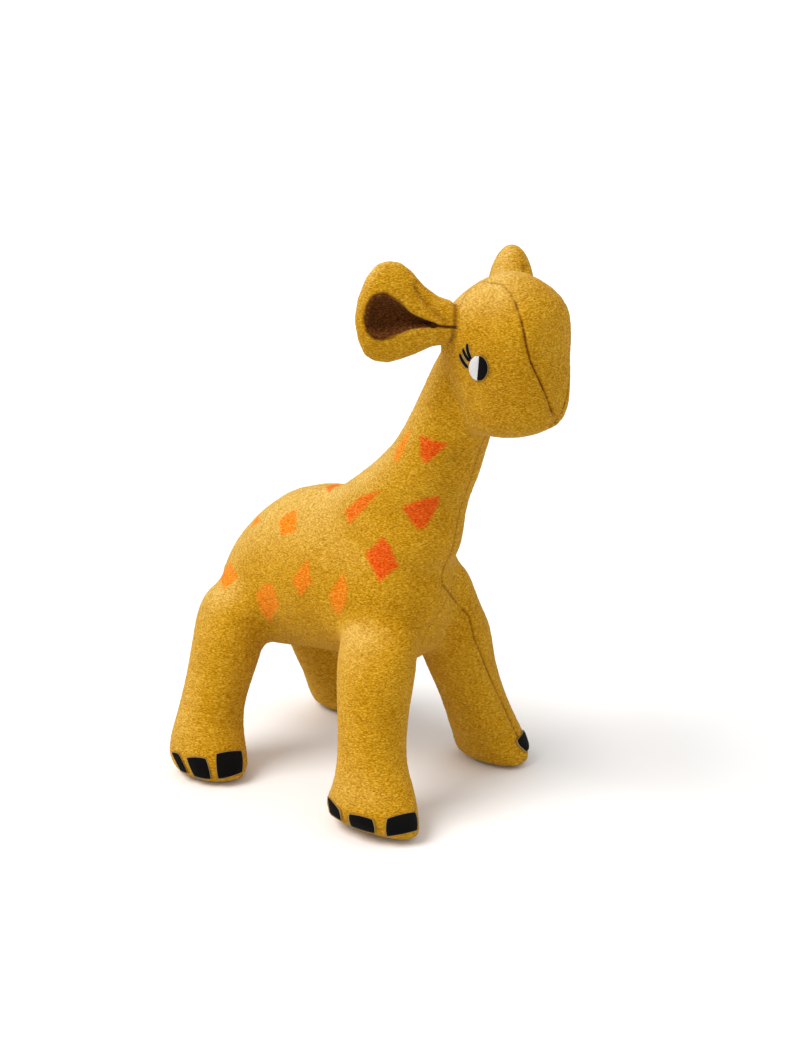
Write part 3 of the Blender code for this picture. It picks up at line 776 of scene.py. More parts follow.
@dataclass
class Seams:
    """The sewn seams, drawn where the photograph shows them and mirrored to the other side."""

    width: float = 0.0011
    depth: float = 0.0011
    shade: float = 0.62
    middle: float = 0.45
    chest_depth: float = -0.040
    chest: tuple[float, float] = (0.130, 0.240)
    back: tuple[float, float] = (0.100, 0.277)
    crown: Drawn = (
        (455, 322), (457, 312), (461, 303), (466, 293), (474, 285), (481, 281.6), (492, 282.4), (502, 284),
        (510, 292), (516, 303),
    )
    cheek: Drawn = (
        (516, 303), (522, 322), (525, 335), (527, 347), (531, 362), (543, 387), (552, 411), (556, 424),
    )
    nape: tuple[Place, ...] = (
        (-0.018, -0.060, 0.299), (-0.010, -0.055, 0.290), (0.0, -0.053, 0.276),
    )
    far_leg: Drawn = ((443, 585), (455, 600), (469, 616), (475, 640), (490, 676), (505, 708), (520, 740))

    def lines(self, sight: Sight) -> list[tuple[np.ndarray, float]]:
        """The seams as polylines on the skin.

        Args:
            sight: The photograph's point of view.

        Returns:
            One array of rows for each seam, with how strongly it shows.
        """
        nearest = sight.surface.find_nearest
        found = []
        # Each seam's pixels, how far its twin is set towards the left in metres, and the strength of both.
        rows = (
            (self.crown, 0.003, 0.45, 0.45),
            (self.cheek, 0.003, 1.0, 1.0),
            (self.far_leg, 0.015, 0.7, 0.3),
        )
        for drawn, shift, strength, mirrored in rows:
            seen = [sight.on(pixel)[0] for pixel in drawn]
            other = [nearest((shift - place.x, place.y, place.z))[0] for place in seen]
            found += [(np.array(seen), strength), (np.array(other), mirrored)]
        for line, strength in found[:2]:
            turned = [nearest((math.copysign(x, line[0][0]), y, z))[0] for x, y, z in self.nape]
            found.append((np.array([line[0], *turned]), strength))
        return found

    def along_middle(self, points: np.ndarray, neck: Neck) -> np.ndarray:
        """Which points the middle seam passes: up chest and throat, and down the back of neck and trunk.

        Args:
            points: The skin's points.
            neck: The neck, whose axis parts front from back.

        Returns:
            Whether the seam runs at each point's height and depth.
        """
        y, z = points[:, 1], points[:, 2]
        behind = y > neck.root[1] + neck.along[1] / neck.along[2] * (z - neck.root[2])
        low, high = self.chest
        bottom, top = self.back
        front = (y < self.chest_depth) & (z > low) & (z < high) & ~behind
        return front | ((z > bottom) & (z < top) & behind)


@dataclass
class Wear:
    """Where the fleece is painted browner, partly painted shade under the jaw and on the cheek and partly
    handling wear: a place in the photograph, a reach in metres and a strength.
    """

    marks: tuple[tuple[Pixel, float, float], ...] = (
        ((453, 459), 0.0055, 0.20),
        ((446, 474), 0.0130, 0.07),
        ((508, 398), 0.0190, 0.20),
    )

    def lay(self, points: np.ndarray, sight: Sight) -> np.ndarray:
        """Works out how much each point of the skin is browned by painted shade and wear.

        Args:
            points: The skin's points.
            sight: The photograph's point of view.

        Returns:
            A share for each point.
        """
        share = np.zeros(len(points))
        for pixel, reach, strength in self.marks:
            gap = np.linalg.norm(points - np.array(sight.on(pixel)[0]), axis=1)
            share = np.maximum(share, strength * falloff(gap, reach))
        return share


@dataclass
class Patches:
    """The printed orange patches, drawn where the photograph shows them and mirrored."""

    soft: float = 0.0011
    roughness: float = 0.0007
    red: tuple[Drawn, ...] = (
        (
            (402.5, 507), (412, 503), (426, 497.5), (439, 496.4), (438, 505),
            (432.5, 515.7), (424, 528), (418.6, 530), (411, 521),
        ),
        ((382.5, 537), (390, 545), (398, 566), (379.5, 582), (365, 554)),
        ((420, 434.5), (447.5, 444), (436, 455), (426.5, 463.5), (420.5, 458)),
    )
    warm: tuple[Drawn, ...] = (
        ((325.5, 487), (341, 484), (330, 492)),
        ((379, 491.5), (364, 509), (349, 525), (345, 511), (363, 495)),
    )
    amber: tuple[Drawn, ...] = (
        ((259.5, 514), (260, 521), (250, 529)),
        ((297, 509), (296, 529), (292, 533), (282, 536), (279, 521), (286, 514)),
        ((231, 562), (238, 576), (224, 589), (223, 572)),
        ((267, 582), (274, 587), (279, 606), (270, 622), (263, 614), (256, 593)),
        ((308, 558), (312, 581), (301, 597), (292, 579.5)),
        (
            (408.9, 430), (410, 434), (404.6, 447), (400.4, 458), (396, 462),
            (394, 458), (396.5, 448), (401.4, 440.7), (406.8, 433),
        ),
        ((343, 573), (347, 588), (345.5, 602), (339, 616), (333, 608), (329, 595)),
    )

    def lay(self, points: np.ndarray, normals: np.ndarray, sight: Sight) -> tuple[np.ndarray, np.ndarray]:
        """Works out how much print and which tone each point of the skin has.

        Args:
            points: The skin's points.
            normals: Their normals.
            sight: The photograph's point of view.

        Returns:
            The print's share and its redness at each point.
        """
        share, redness = np.zeros(len(points)), np.zeros(len(points))
        rough = tufts(points, (1.5, 1.5, 1.0), 91) * self.roughness
        for tone, group in ((1.0, self.red), (0.6, self.warm), (0.0, self.amber)):
            for drawn in group:
                placed = [sight.on(pixel) for pixel in drawn]
                corners = np.array([place for place, _ in placed])
                facing = np.array([normal for _, normal in placed]).mean(axis=0)
                for mirror in ((1, 1, 1), (-1, 1, 1)):
                    out = facing * mirror / np.linalg.norm(facing * mirror)
                    inside = self.depth_inside(points, normals, corners * mirror, out)
                    amount = np.clip(0.5 + (inside + rough) / (2 * self.soft), 0, 1)
                    redness = np.where(amount > share, tone, redness)
                    share = np.maximum(share, amount)
        return share, redness

    @staticmethod
    def depth_inside(
        points: np.ndarray, normals: np.ndarray, corners: np.ndarray, out: np.ndarray
    ) -> np.ndarray:
        """How far inside a patch's outline each point is, seen straight on.

        Args:
            points: The skin's points.
            normals: Their normals.
            corners: The outline's corners.
            out: The way the patch faces.

        Returns:
            Metres inside the outline, negative outside.
        """
        result = np.full(len(points), -1.0)
        middle = corners.mean(axis=0)
        margin, least_facing = 0.004, 0.1
        reach = np.linalg.norm(corners - middle, axis=1).max() + margin
        near = (np.linalg.norm(points - middle, axis=1) < reach) & (normals @ out > least_facing)
        level = np.cross(out, (0, 0, 1.0))
        level /= np.linalg.norm(level)
        upward = np.cross(level, out)
        flat = np.stack([(points[near] - middle) @ level, (points[near] - middle) @ upward], axis=1)
        shape = np.stack([(corners - middle) @ level, (corners - middle) @ upward], axis=1)
        closed = np.concatenate([shape, shape[:1]])
        edge = distance_to_line(flat, closed)
        crossed = np.zeros(len(flat), bool)
        for (ax, ay), (bx, by) in itertools.pairwise(closed):
            if ay != by:
                spans = (flat[:, 1] > min(ay, by)) & (flat[:, 1] <= max(ay, by))
                crossed ^= spans & (flat[:, 0] < ax + (flat[:, 1] - ay) / (by - ay) * (bx - ax))
        result[near] = np.where(crossed, edge, -edge)
        return result


@dataclass
class Skin:
    """The sewn skin over the stuffing: one surface, then parted where the toy bends."""

    trunk: Trunk
    neck: Neck
    head: Head
    legs: list[Leg]
    seams: Seams = field(default_factory=Seams)
    patches: Patches = field(default_factory=Patches)
    wear: Wear = field(default_factory=Wear)
    union_voxel: float = 0.0022
    cloth_voxel: float = 0.0038
    fillet_passes: int = 14
    pressure: float = 4.0
    frames: int = 20
    held_middle: float = 0.0025
    held_sole: float = 0.004
    swell: float = 0.0022
    sole: float = 0.0002
    nap: float = 0.0002
    between_legs: float = 0.02

    def build(self, sight: Sight) -> tuple[Any, Sight]:
        """Builds the whole skin.

        Args:
            sight: The photograph's point of view.

        Returns:
            The skin, and the same sight with the skin's surface in it.
        """
        forms = [self.trunk.form(), self.neck.form(), self.head.form(), *(leg.form() for leg in self.legs)]
        select_only(*forms)
        bpy.ops.object.join()
        skin = bpy.context.object
        skin.name = "skin"
        even_out(skin, self.union_voxel, self.fillet_passes)
        even_out(skin, self.cloth_voxel, 2)
        self.stuff(skin)
        modify(skin, "SUBSURF", levels=3, render_levels=3)
        points = points_of(skin)
        points[:, 2] = np.maximum(points[:, 2], self.sole)
        place_points(skin, points)
        sight = replace(sight, surface=BVHTree.FromObject(skin, bpy.context.evaluated_depsgraph_get()))
        self.sew(skin, sight)
        brush_up(skin, points_of(skin), normals_of(skin), self.nap)
        select_only(skin)
        bpy.ops.object.shade_smooth()
        return skin, sight

    def stuff(self, skin: Any) -> None:
        """Swells the skin under the pressure of its stuffing, held along the middle seams and the soles.

        Args:
            skin: The skin, remeshed for cloth.
        """
        rest = points_of(skin)
        still = (np.abs(rest[:, 0]) < self.held_middle) | (rest[:, 2] < self.held_sole)
        held = skin.vertex_groups.new(name="seams")
        held.add(np.flatnonzero(still).tolist(), 1.0, "REPLACE")
        cloth = skin.modifiers.new("Stuffing", "CLOTH")
        settings = cloth.settings
        settings.quality = 5
        settings.use_pressure = True
        settings.uniform_pressure_force = self.pressure
        settings.effector_weights.gravity = 0.0
        settings.vertex_group_mass = held.name
        scene = bpy.context.scene
        for frame in range(1, self.frames + 1):
            scene.frame_set(frame)
        select_only(skin)
        bpy.ops.object.modifier_apply(modifier=cloth.name)
        skin.vertex_groups.clear()
        scene.frame_set(1)
        moved = points_of(skin) - rest
        length = np.linalg.norm(moved, axis=1)
        LOG.info("stuffing moved the skin by up to %.1f mm", length.max() / MM)
        share = np.minimum(1, self.swell / np.maximum(length, 1e-9))
        place_points(skin, rest + moved * share[:, None])

    def sew(self, skin: Any, sight: Sight) -> None:
        """Draws the seams in, and lays the printed patches, the painted shade and wear, and the painted
        highlight.

        Args:
            skin: The skin at its full fineness.
            sight: The photograph's point of view.
        """
        seams, margin = self.seams, 0.004
        points, normals = points_of(skin), normals_of(skin)
        crease, shade = np.zeros(len(points)), np.zeros(len(points))

        def press(rows: np.ndarray, gap: np.ndarray, strength: float) -> None:
            """Presses a seam into the points of these rows; its shade is narrower than its crease."""
            crease[rows] = np.maximum(crease[rows], strength * falloff(gap, seams.width))
            shade[rows] = np.maximum(shade[rows], strength * falloff(gap, seams.width * seams.shade))

        for line, strength in seams.lines(sight):
            near = ((points > line.min(axis=0) - margin) & (points < line.max(axis=0) + margin)).all(axis=1)
            press(near, distance_to_line(points[near], line), strength)
        middle = seams.along_middle(points, self.neck)
        press(middle, np.abs(points[middle, 0]), seams.middle)
        print_share, redness = self.patches.lay(points, normals, sight)
        place_points(skin, points - normals * (crease * seams.depth)[:, None])
        # Painted shade and handling wear: browner fleece under the jaw, down the neck and on the cheek.
        dusk = self.wear.lay(points, sight)
        kept = {"seam": shade, "dusk": dusk, "faded": faded(normals), "patch": print_share, "warmth": redness}
        for name, values in kept.items():
            write_attribute(skin, name, values)

    def part(self, skin: Any) -> dict[str, Any]:
        """Parts the skin where the toy bends, each cut closed inside.

        Args:
            skin: The whole skin.

        Returns:
            The pieces by name.
        """
        neck, along, up = self.neck, Vector(self.neck.along), Vector((0, 0, 1))
        low, split, top = neck.at(neck.lower_bend[0]), neck.at(neck.split), neck.at(neck.top)
        hip = Vector((0, 0, self.legs[0].bend[0]))
        cuts = (
            ("legs", "skin", ((hip, -up),)),
            ("trunk_skin", "skin", ((low, -along), (hip, up))),
            ("neck", "skin", ((low, along),)),
            ("lower_neck_skin", "neck", ((split, -along),)),
            ("upper_neck_skin", "neck", ((split, along), (top, -along))),
            ("head_skin", "neck", ((top, along),)),
        )
        pieces = {"skin": skin}
        for name, source, planes in cuts:
            piece = pieces[name] = copy_of(pieces[source], name)
            for place, keep in planes:
                with editing(piece):
                    bpy.ops.mesh.bisect(plane_co=place, plane_no=keep, use_fill=True, clear_inner=True)
                    bpy.ops.mesh.faces_shade_flat()
        bpy.data.objects.remove(pieces.pop("neck"))
        select_only(pieces.pop("legs"))
        bpy.ops.mesh.separate(type="LOOSE")
        for piece in list(bpy.context.selected_objects):
            centre = points_of(piece).mean(axis=0)
            side = Side.RIGHT if centre[0] < 0 else Side.LEFT
            end = End.FRONT if centre[1] < self.between_legs else End.REAR
            piece.name = f"{side.word}_{end.value}_leg_skin"
            pieces[piece.name] = piece
        bpy.data.objects.remove(pieces.pop("skin"))
        return pieces

    def dress(self, pieces: dict[str, Any], finishes: Finishes) -> None:
        """Gives the pieces their fleece, hangs the trunk and head pieces on their bodies, and hides the CAD
        nodes that the pieces stand for.

        Args:
            pieces: The parted skin.
            finishes: The toy's materials.
        """
        for piece in pieces.values():
            clothe(piece, finishes.mustard)
        neck = self.neck
        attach(pieces["trunk_skin"], "trunk")
        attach(pieces["head_skin"], "head")
        low, high = neck.lower_bend
        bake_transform(pieces["lower_neck_skin"], "trunk", "neck", neck.at(low), neck.at(high))
        low, high = neck.upper_bend
        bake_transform(pieces["upper_neck_skin"], "neck", "head", neck.at(low), neck.at(high))
        sewn = {
            "trunk_skin": ("right_side_panel", "left_side_panel", "belly_gusset", "trunk_stuffing"),
            "lower_neck_skin": ("right_neck_panel", "left_neck_panel", "neck_stuffing"),
            "head_skin": ("right_head_panel", "left_head_panel", "head_gusset", "head_stuffing"),
        }
        for name, nodes in sewn.items():
            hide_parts(*nodes)
        for leg in self.legs:
            piece = pieces[f"{leg.body}_skin"]
            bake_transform(piece)
            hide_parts(*(f"{leg.body}_{part}" for part in ("outer_panel", "inner_panel", "stuffing")))


@dataclass
class Ear:
    """A cupped ear: a stuffed leaf, hollowed towards the face and lined with fleece whose dark brown is
    painted shade.
    """

    side: Side
    root: Place
    along: Place
    mouth: Place
    fullness: float = 1.0
    bend: float = 0.012
    rings: tuple[Ring, ...] = sections(
        (-4, 0, -12, 6, 6), (-3.5, 0, -5, 10, 8.5), (-3, 0, 2, 12, 9.5), (-3, 0, 10, 13.8, 10),
        (-3.1, 0, 18.5, 19, 10.3), (-1.4, 0, 26, 24.4, 10.3), (-0.6, 0, 33, 27.8, 10),
        (-0.2, 0, 40, 27.6, 9.5), (-0.2, 0, 45.3, 25, 8.5), (0, 0, 49.8, 17.5, 6.8), (-1, 0, 52.8, 7, 3),
    )
    hollow: tuple[Ring, ...] = sections(
        (-3.1, -11, 10, 0.9, 7.5), (-2.9, -11, 14, 1.5, 9.5), (-2.6, -11, 18.3, 2.4, 11),
        (-2.3, -11, 24.2, 4.2, 12), (-1.9, -11, 28.6, 6.7, 12.5), (-1.5, -11, 33, 9.1, 12.5),
        (-1.3, -11, 38.3, 10.8, 12.5), (-1.1, -11, 42, 11, 12), (-0.8, -11, 45.4, 9, 10),
        (-0.7, -11, 47.3, 4.5, 6),
    )
    voxel: float = 0.0011
    lip: float = -0.0100
    fade: float = 0.0045
    slit: tuple[Place, ...] = ((-2.8, 0, 15.5), (-3.3, 0, 10), (-3.6, 0, 5), (-3.5, 0, -2))
    slit_width: float = 0.0010
    fold: tuple[Place, ...] = (
        (16.5, 0, 24), (11.5, 0, 20), (7.4, 0, 15.7), (2.7, 0, 10.3), (-1.2, 0, 5),
    )
    fold_width: float = 0.0016
    crease: float = 0.0022
    root_at: float = 0.0005
    root_width: float = 0.0016
    root_crease: float = 0.0010
    front: float = 0.001
    rim: float = 0.0011
    tip_rim: float = 0.0013
    tip: tuple[float, float] = (0.028, 0.012)
    edge_brown: float = 1.6
    lip_brown: float = 0.25
    tip_brown: float = 0.4
    root_brown: float = 0.55
    fold_brown: float = 0.3
    lined: float = 0.0016
    nap: float = 0.00013
    lining_nap: float = 0.0002
    lining_lift: tuple[float, float] = (-0.0004, 0.0009)
    lining_full: float = 0.8
    lining_thickness: float = 0.0009

    @property
    def body(self) -> str:
        """The CAD body that carries the ear."""
        return f"{self.side.word}_ear"

    def matrix(self) -> Matrix:
        """The ear's own axes in the toy's frame: across and up, away from the face, towards the tip."""
        along, mouth = Vector(self.along).normalized(), Vector(self.mouth).normalized()
        across = along.cross(mouth)
        across *= math.copysign(1, across.z)
        turn = Matrix((across, -mouth, along)).transposed().to_4x4()
        return Matrix.Translation(self.root) @ turn

    def build(self, finishes: Finishes) -> None:
        """Builds and dresses the ear, turned into its place on the head.

        Args:
            finishes: The toy's materials.
        """
        rings = [Ring(r.x, r.y, r.z, r.a, r.b * self.fullness) for r in self.rings]
        leaf = stuffed_form(f"{self.body}_skin", rings, sides=32)
        hollow = stuffed_form("hollow", self.hollow, sides=32)
        modify(leaf, "BOOLEAN", operation="DIFFERENCE", object=hollow, solver="EXACT")
        even_out(leaf, self.voxel, 8)
        modify(leaf, "SUBSURF", levels=1, render_levels=1)
        cup = BVHTree.FromObject(hollow, bpy.context.evaluated_depsgraph_get())
        bpy.data.objects.remove(hollow)
        local = points_of(leaf)
        gap = np.array([cup.find_nearest(place)[3] for place in local])
        sunk = (local[:, 1] - self.lip * self.fullness) / self.fade
        flat, seen = local * (1, 0, 1), local[:, 1] < self.front
        slit, fold = (
            falloff(distance_to_line(flat, np.array(line) * MM), width) * seen
            for line, width in ((self.slit, self.slit_width), (self.fold, self.fold_width))
        )
        root = falloff(local[:, 2] - self.root_at, self.root_width)
        # The brown is painted shade: it shows past the lining's edge, further and softer towards the tip, and
        # in the creases.
        start, span = self.tip
        tip = np.clip((local[:, 2] - start) / span, 0, 1)
        rim = self.rim + self.tip_rim * tip
        painted_shade = np.clip(self.edge_brown - gap / rim, 0, 1)
        painted_shade *= np.clip(sunk + self.lip_brown + self.tip_brown * tip, 0, 1)
        creased = (slit, root * self.root_brown, fold * self.fold_brown)
        painted_shade = np.clip(np.maximum.reduce([painted_shade, *creased]), 0, 1)
        turn = self.matrix()
        leaf.data.transform(turn)
        if turn.determinant() < 0:
            leaf.data.flip_normals()
        points, normals = points_of(leaf), normals_of(leaf)
        pressed = slit * self.crease + fold * self.crease + root * self.root_crease
        points = points - normals * pressed[:, None]
        place_points(leaf, points)
        lining = self.line(leaf, gap < self.lined, sunk)
        brush_up(leaf, points, normals, self.nap)
        # Painted shade: brown at the hollow's edge and in the slit, root and fold creases.
        write_attribute(leaf, "dusk", painted_shade * painted_shade * (3 - 2 * painted_shade))
        # Painted highlight on the ear, kept off its painted shade.
        write_attribute(leaf, "faded", faded(normals) * (1 - painted_shade))
        start, end = Vector(self.root), Vector(self.root) + Vector(self.along) * self.bend
        for piece, node, finish, slot in (
            (leaf, "back", finishes.mustard, "mustard_fleece"),
            (lining, "lining", finishes.lining, "ear_lining"),
        ):
            select_only(piece)
            bpy.ops.object.shade_smooth()
            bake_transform(piece)
            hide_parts(f"{self.body}_{node}")
            clothe(piece, finish)

    def line(self, leaf: Any, near: np.ndarray, sunk: np.ndarray) -> Any:
        """Lines the hollow: its faces, lifted off the leaf and given their own thickness.

        Args:
            leaf: The finished leaf.
            near: Which of its points lie on the hollow.
            sunk: How deep each point lies: 0 at the lip, 1 where the lip's fade ends.

        Returns:
            The lining.
        """
        lining = copy_of(leaf, f"{self.body}_lining")
        write_attribute(lining, "depth", sunk)
        with editing(lining):
            bpy.ops.mesh.select_mode(type="VERT")
            bpy.ops.mesh.select_all(action="DESELECT")
        lining.data.vertices.foreach_set("select", ~(near & (sunk > 0.0)))
        with editing(lining, select=False):
            bpy.ops.mesh.delete(type="VERT")
        points = points_of(lining)
        depth = np.empty(len(points), np.float32)
        lining.data.attributes["depth"].data.foreach_get("value", depth)
        # The edge sinks into the leaf, so the lining grows out of it without a step.
        edge, rise = self.lining_lift
        lift = edge + rise * np.clip(depth / self.lining_full, 0, 1)
        brush_up(lining, points, normals_of(lining), self.lining_nap, lift)
        modify(lining, "SOLIDIFY", thickness=self.lining_thickness, offset=-1.0)
        return lining


@dataclass
class Tail:
    """A small stuffed tail with a fuller tip, behind the rump."""

    rings: tuple[Ring, ...] = sections(
        (0, 100, 114, 5, 5), (0, 106, 113.5, 6, 5), (0, 112, 110, 5.6, 4.5), (0, 115.5, 104, 4.8, 4.4),
        (0, 116.2, 96, 4.3, 4.3), (0, 116.6, 88, 4.4, 4.6), (0, 117.4, 80, 5.4, 5.6),
        (0, 118, 74, 6.2, 6.4), (0, 117.6, 69, 5, 5.2), (0, 117, 66, 2.2, 2.4),
    )
    voxel: float = 0.0011
    nap: float = 0.0002
    bend: tuple[Place, Place] = ((0, 0.106, 0.114), (0, 0.116, 0.100))

    def build(self, finishes: Finishes) -> None:
        """Builds and dresses the tail.

        Args:
            finishes: The toy's materials.
        """
        tail = stuffed_form("tail_skin", self.rings, sides=24)
        even_out(tail, self.voxel, 6)
        modify(tail, "SUBSURF", levels=1, render_levels=1)
        brush_up(tail, points_of(tail), normals_of(tail), self.nap)
        select_only(tail)
        bpy.ops.object.shade_smooth()
        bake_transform(tail)
        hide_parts("tail_cloth")
        clothe(tail, finishes.mustard)


class Laid(Enum):
    """A thread as it is laid: its name among the finishes, and the record's slot of it."""

    BLACK = ("black", "black_thread")
    WHITE = ("white", "white_thread")
    EDGING = ("tan", "white_thread")


@dataclass
class Embroidery:
    """What is embroidered on the skin: patches of satin stitch, each on a slightly wider tan edging."""

    finishes: Finishes
    lift: float = 0.00045
    thickness: float = 0.0008
    edging_lift: float = 0.0001
    clearance: float = 0.0001
    rim_drop: float = 0.8

    def stitch(
        self, name: str, outline: Outline, sight: Sight, cells: Cells, laid: Laid, body: str, node: str
    ) -> None:
        """Lays a patch of stitches over the skin: a closed pad that follows it.

        Args:
            name: The piece's name.
            outline: Gives the photograph's pixel for a place across and down the patch, each from -1 to 1.
            sight: The sight of the side that it lies on.
            cells: Cells across and down the patch.
            laid: Its thread.
            body: The CAD body that carries it.
            node: The CAD node that it stands for, or nothing.
        """
        select_only()
        bpy.ops.mesh.primitive_grid_add(x_subdivisions=cells[0], y_subdivisions=cells[1], size=2.0)
        patch = bpy.context.object
        patch.name = name
        lift = self.edging_lift if laid is Laid.EDGING else self.lift
        placed = []
        for s, t, _ in points_of(patch):
            place, normal = sight.on(outline(s, t))
            crown = lift * (1 - self.rim_drop * max(abs(s), abs(t)) ** 5)
            placed.append(place + normal * (crown + self.clearance))
        place_points(patch, np.array(placed))
        if sight.carry.determinant() < 0:
            patch.data.flip_normals()
        modify(patch, "SOLIDIFY", thickness=self.thickness, offset=-1.0)
        with editing(patch):
            bpy.ops.mesh.normals_make_consistent(inside=False)
        bpy.ops.object.shade_smooth_by_angle(angle=math.radians(50))
        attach(patch, body)
        if node:
            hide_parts(node)
        thread, slot = laid.value
        clothe(patch, getattr(self.finishes, thread))

    @staticmethod
    def pad(corners: Sequence[Pixel], soft: float, margin: float = 0.0) -> Outline:
        """The outline of a patch with four rounded corners.

        Args:
            corners: The corners in the photograph, round the patch.
            soft: How far they are rounded, from 0, square, to 1, a circle.
            margin: How far the outline stands outside the corners, in pixels.

        Returns:
            The outline.
        """
        points = [np.array(corner) for corner in corners]
        middle = sum(points) / 4
        # A rounded corner moves further than an edge for the same margin.
        further = 1.3
        a, b, c, d = (p + (p - middle) / np.linalg.norm(p - middle) * margin * further for p in points)

        def outline(s: float, t: float) -> Pixel:
            """The pixel at a place of the pad."""
            p = (s * math.sqrt(1 - soft * t * t / 2) + 1) / 2
            q = (t * math.sqrt(1 - soft * s * s / 2) + 1) / 2
            u, v = (a * (1 - p) + b * p) * (1 - q) + (d * (1 - p) + c * p) * q
            return float(u), float(v)

        return outline


@dataclass
class Eyes(Embroidery):
    """Both eyes: a white half, a black half and three lashes, embroidered on the head."""

    middle: Pixel = (479.2, 367.7)
    half: Pixel = (8.9, 11.6)
    lean: float = 1.0
    closed: float = 0.94
    edging: float = 0.9
    lashes: tuple[tuple[Pixel, Pixel, Pixel], ...] = (
        ((467.4, 343.2), (466.6, 351.5), (471.6, 359.6)),
        ((463.2, 348.4), (464.0, 355.0), (470.4, 361.6)),
        ((460.0, 353.4), (461.4, 361.0), (468.4, 368.0)),
    )
    lash_width: float = 3.1
    lash_tip: float = 0.8
    lash_edging: float = 2.4

    def half_disc(self, s0: float, s1: float, margin: float = 0.0) -> Outline:
        """A stretch of the eye's oval from one side to another.

        Args:
            s0: Its start across the eye: -1 is the left edge, 0 the divide.
            s1: Its end.
            margin: How far it stands outside the oval, in pixels.

        Returns:
            The outline.
        """

        def outline(s: float, t: float) -> Pixel:
            """The pixel at a place of the eye."""
            rise = math.sin(t * self.closed * math.pi / 2)
            reach = (self.half[0] + margin) * math.sqrt(1 - rise * rise)
            across = s0 + (s1 - s0) * (s + 1) / 2
            divide = self.middle[0] - self.lean * rise
            edge = self.middle[0] + math.copysign(reach, across)
            return divide + (edge - divide) * abs(across), self.middle[1] + (self.half[1] + margin) * rise

        return outline

    def lash(self, points: Sequence[Pixel], width: float) -> Outline:
        """A curved lash, narrower at its tip.

        Args:
            points: Tip, bend and foot in the photograph.
            width: Its width in pixels.

        Returns:
            The outline.
        """
        tip, bend, foot = (np.array(point) for point in points)

        def outline(s: float, t: float) -> Pixel:
            """The pixel at a place of the lash."""
            k = (t + 1) / 2
            line = tip * (1 - k) ** 2 + bend * 2 * k * (1 - k) + foot * k * k
            way = (bend - tip) * (1 - k) + (foot - bend) * k
            side = np.array((-way[1], way[0])) / np.linalg.norm(way)
            taper = self.lash_tip + (1 - self.lash_tip) * k
            u, v = line + side * s * width / 2 * math.sqrt(max(0.0, 1 - t**6)) * taper
            return float(u), float(v)

        return outline

    def build(self, sight: Sight) -> None:
        """Embroiders the eyes.

        Args:
            sight: The photograph's point of view.
        """
        rows = [
            ("eye_edging", self.half_disc(-1, 1, self.edging), (16, 20), Laid.EDGING, ""),
            ("eye_white_thread", self.half_disc(-1, 0), (12, 22), Laid.WHITE, "eye_white"),
            ("eye_black_thread", self.half_disc(0, 1), (12, 22), Laid.BLACK, "eye_black"),
        ]
        for number, points in enumerate(self.lashes, 1):
            for word, margin, laid in (("_edging", self.lash_edging, Laid.EDGING), ("", 0.0, Laid.BLACK)):
                outline = self.lash(points, self.lash_width + margin)
                rows.append((f"lash_{number}{word}", outline, (4, 14), laid, ""))
        for name, outline, cells, laid, node in rows:
            for side, seen in ((Side.RIGHT, sight), (Side.LEFT, sight.carried())):
                replaced = f"{side.word}_{node}" if node else ""
                self.stitch(f"{side.word}_{name}", outline, seen, cells, laid, "head", replaced)


@dataclass
class Toenails(Embroidery):
    """Three black toenails on the outer front of each foot."""

    front: tuple[tuple[str, Drawn], ...] = (
        ("rear", ((328.8, 796.5), (340.5, 810), (342, 819.5), (331.5, 812.5))),
        ("middle", ((349.5, 813.5), (373, 819), (375.5, 832.5), (351.5, 825))),
        ("front", ((386.5, 818.5), (414.8, 811.8), (417, 830), (386.5, 835.5))),
    )
    rear: tuple[tuple[str, Drawn], ...] = (
        ("rear", ((172.8, 752), (179.5, 753.5), (188.5, 772.3), (181.5, 769.5))),
        ("middle", ((187, 757), (206, 758), (211.5, 778.6), (195, 775.3))),
        ("front", ((215.5, 753.5), (241, 750.5), (241.8, 772), (218, 778.8))),
    )
    left_back: dict[End, float] = field(default_factory=lambda: {End.FRONT: 2.5, End.REAR: 0.0})
    softness: float = 0.3
    edging: float = 1.1
    cells: Cells = (18, 14)

    def build(self, sight: Sight, legs: Iterable[Leg]) -> None:
        """Embroiders the toenails.

        Args:
            sight: The photograph's point of view.
            legs: The legs, for how each left foot stands and measures beside its right one.
        """
        threads = (("nail", 0.0, Laid.BLACK), ("nail_edging", self.edging, Laid.EDGING))
        # The third ring of each leg is 8 mm up, at the height of the nails.
        foot = {(leg.side, leg.end): leg.rings[2] for leg in legs}
        for end, nails in ((End.FRONT, self.front), (End.REAR, self.rear)):
            near, far = foot[Side.RIGHT, end], foot[Side.LEFT, end]
            wide, deep = far.a / near.a, far.b / near.b
            further = far.y - near.y * deep + self.left_back[end]
            other = sight.carried((far.x - near.x * wide) * MM, further * MM, wide, deep)
            for place, corners in nails:
                for word, margin, laid in threads:
                    outline = self.pad(corners, self.softness, margin)
                    for side, seen in ((Side.RIGHT, sight), (Side.LEFT, other)):
                        leg = f"{side.word}_{end.value}"
                        node = f"{leg}_leg_{place}_toenail" if laid is Laid.BLACK else ""
                        name = f"{leg}_{place}_{word}"
                        self.stitch(name, outline, seen, self.cells, laid, f"{leg}_leg", node)


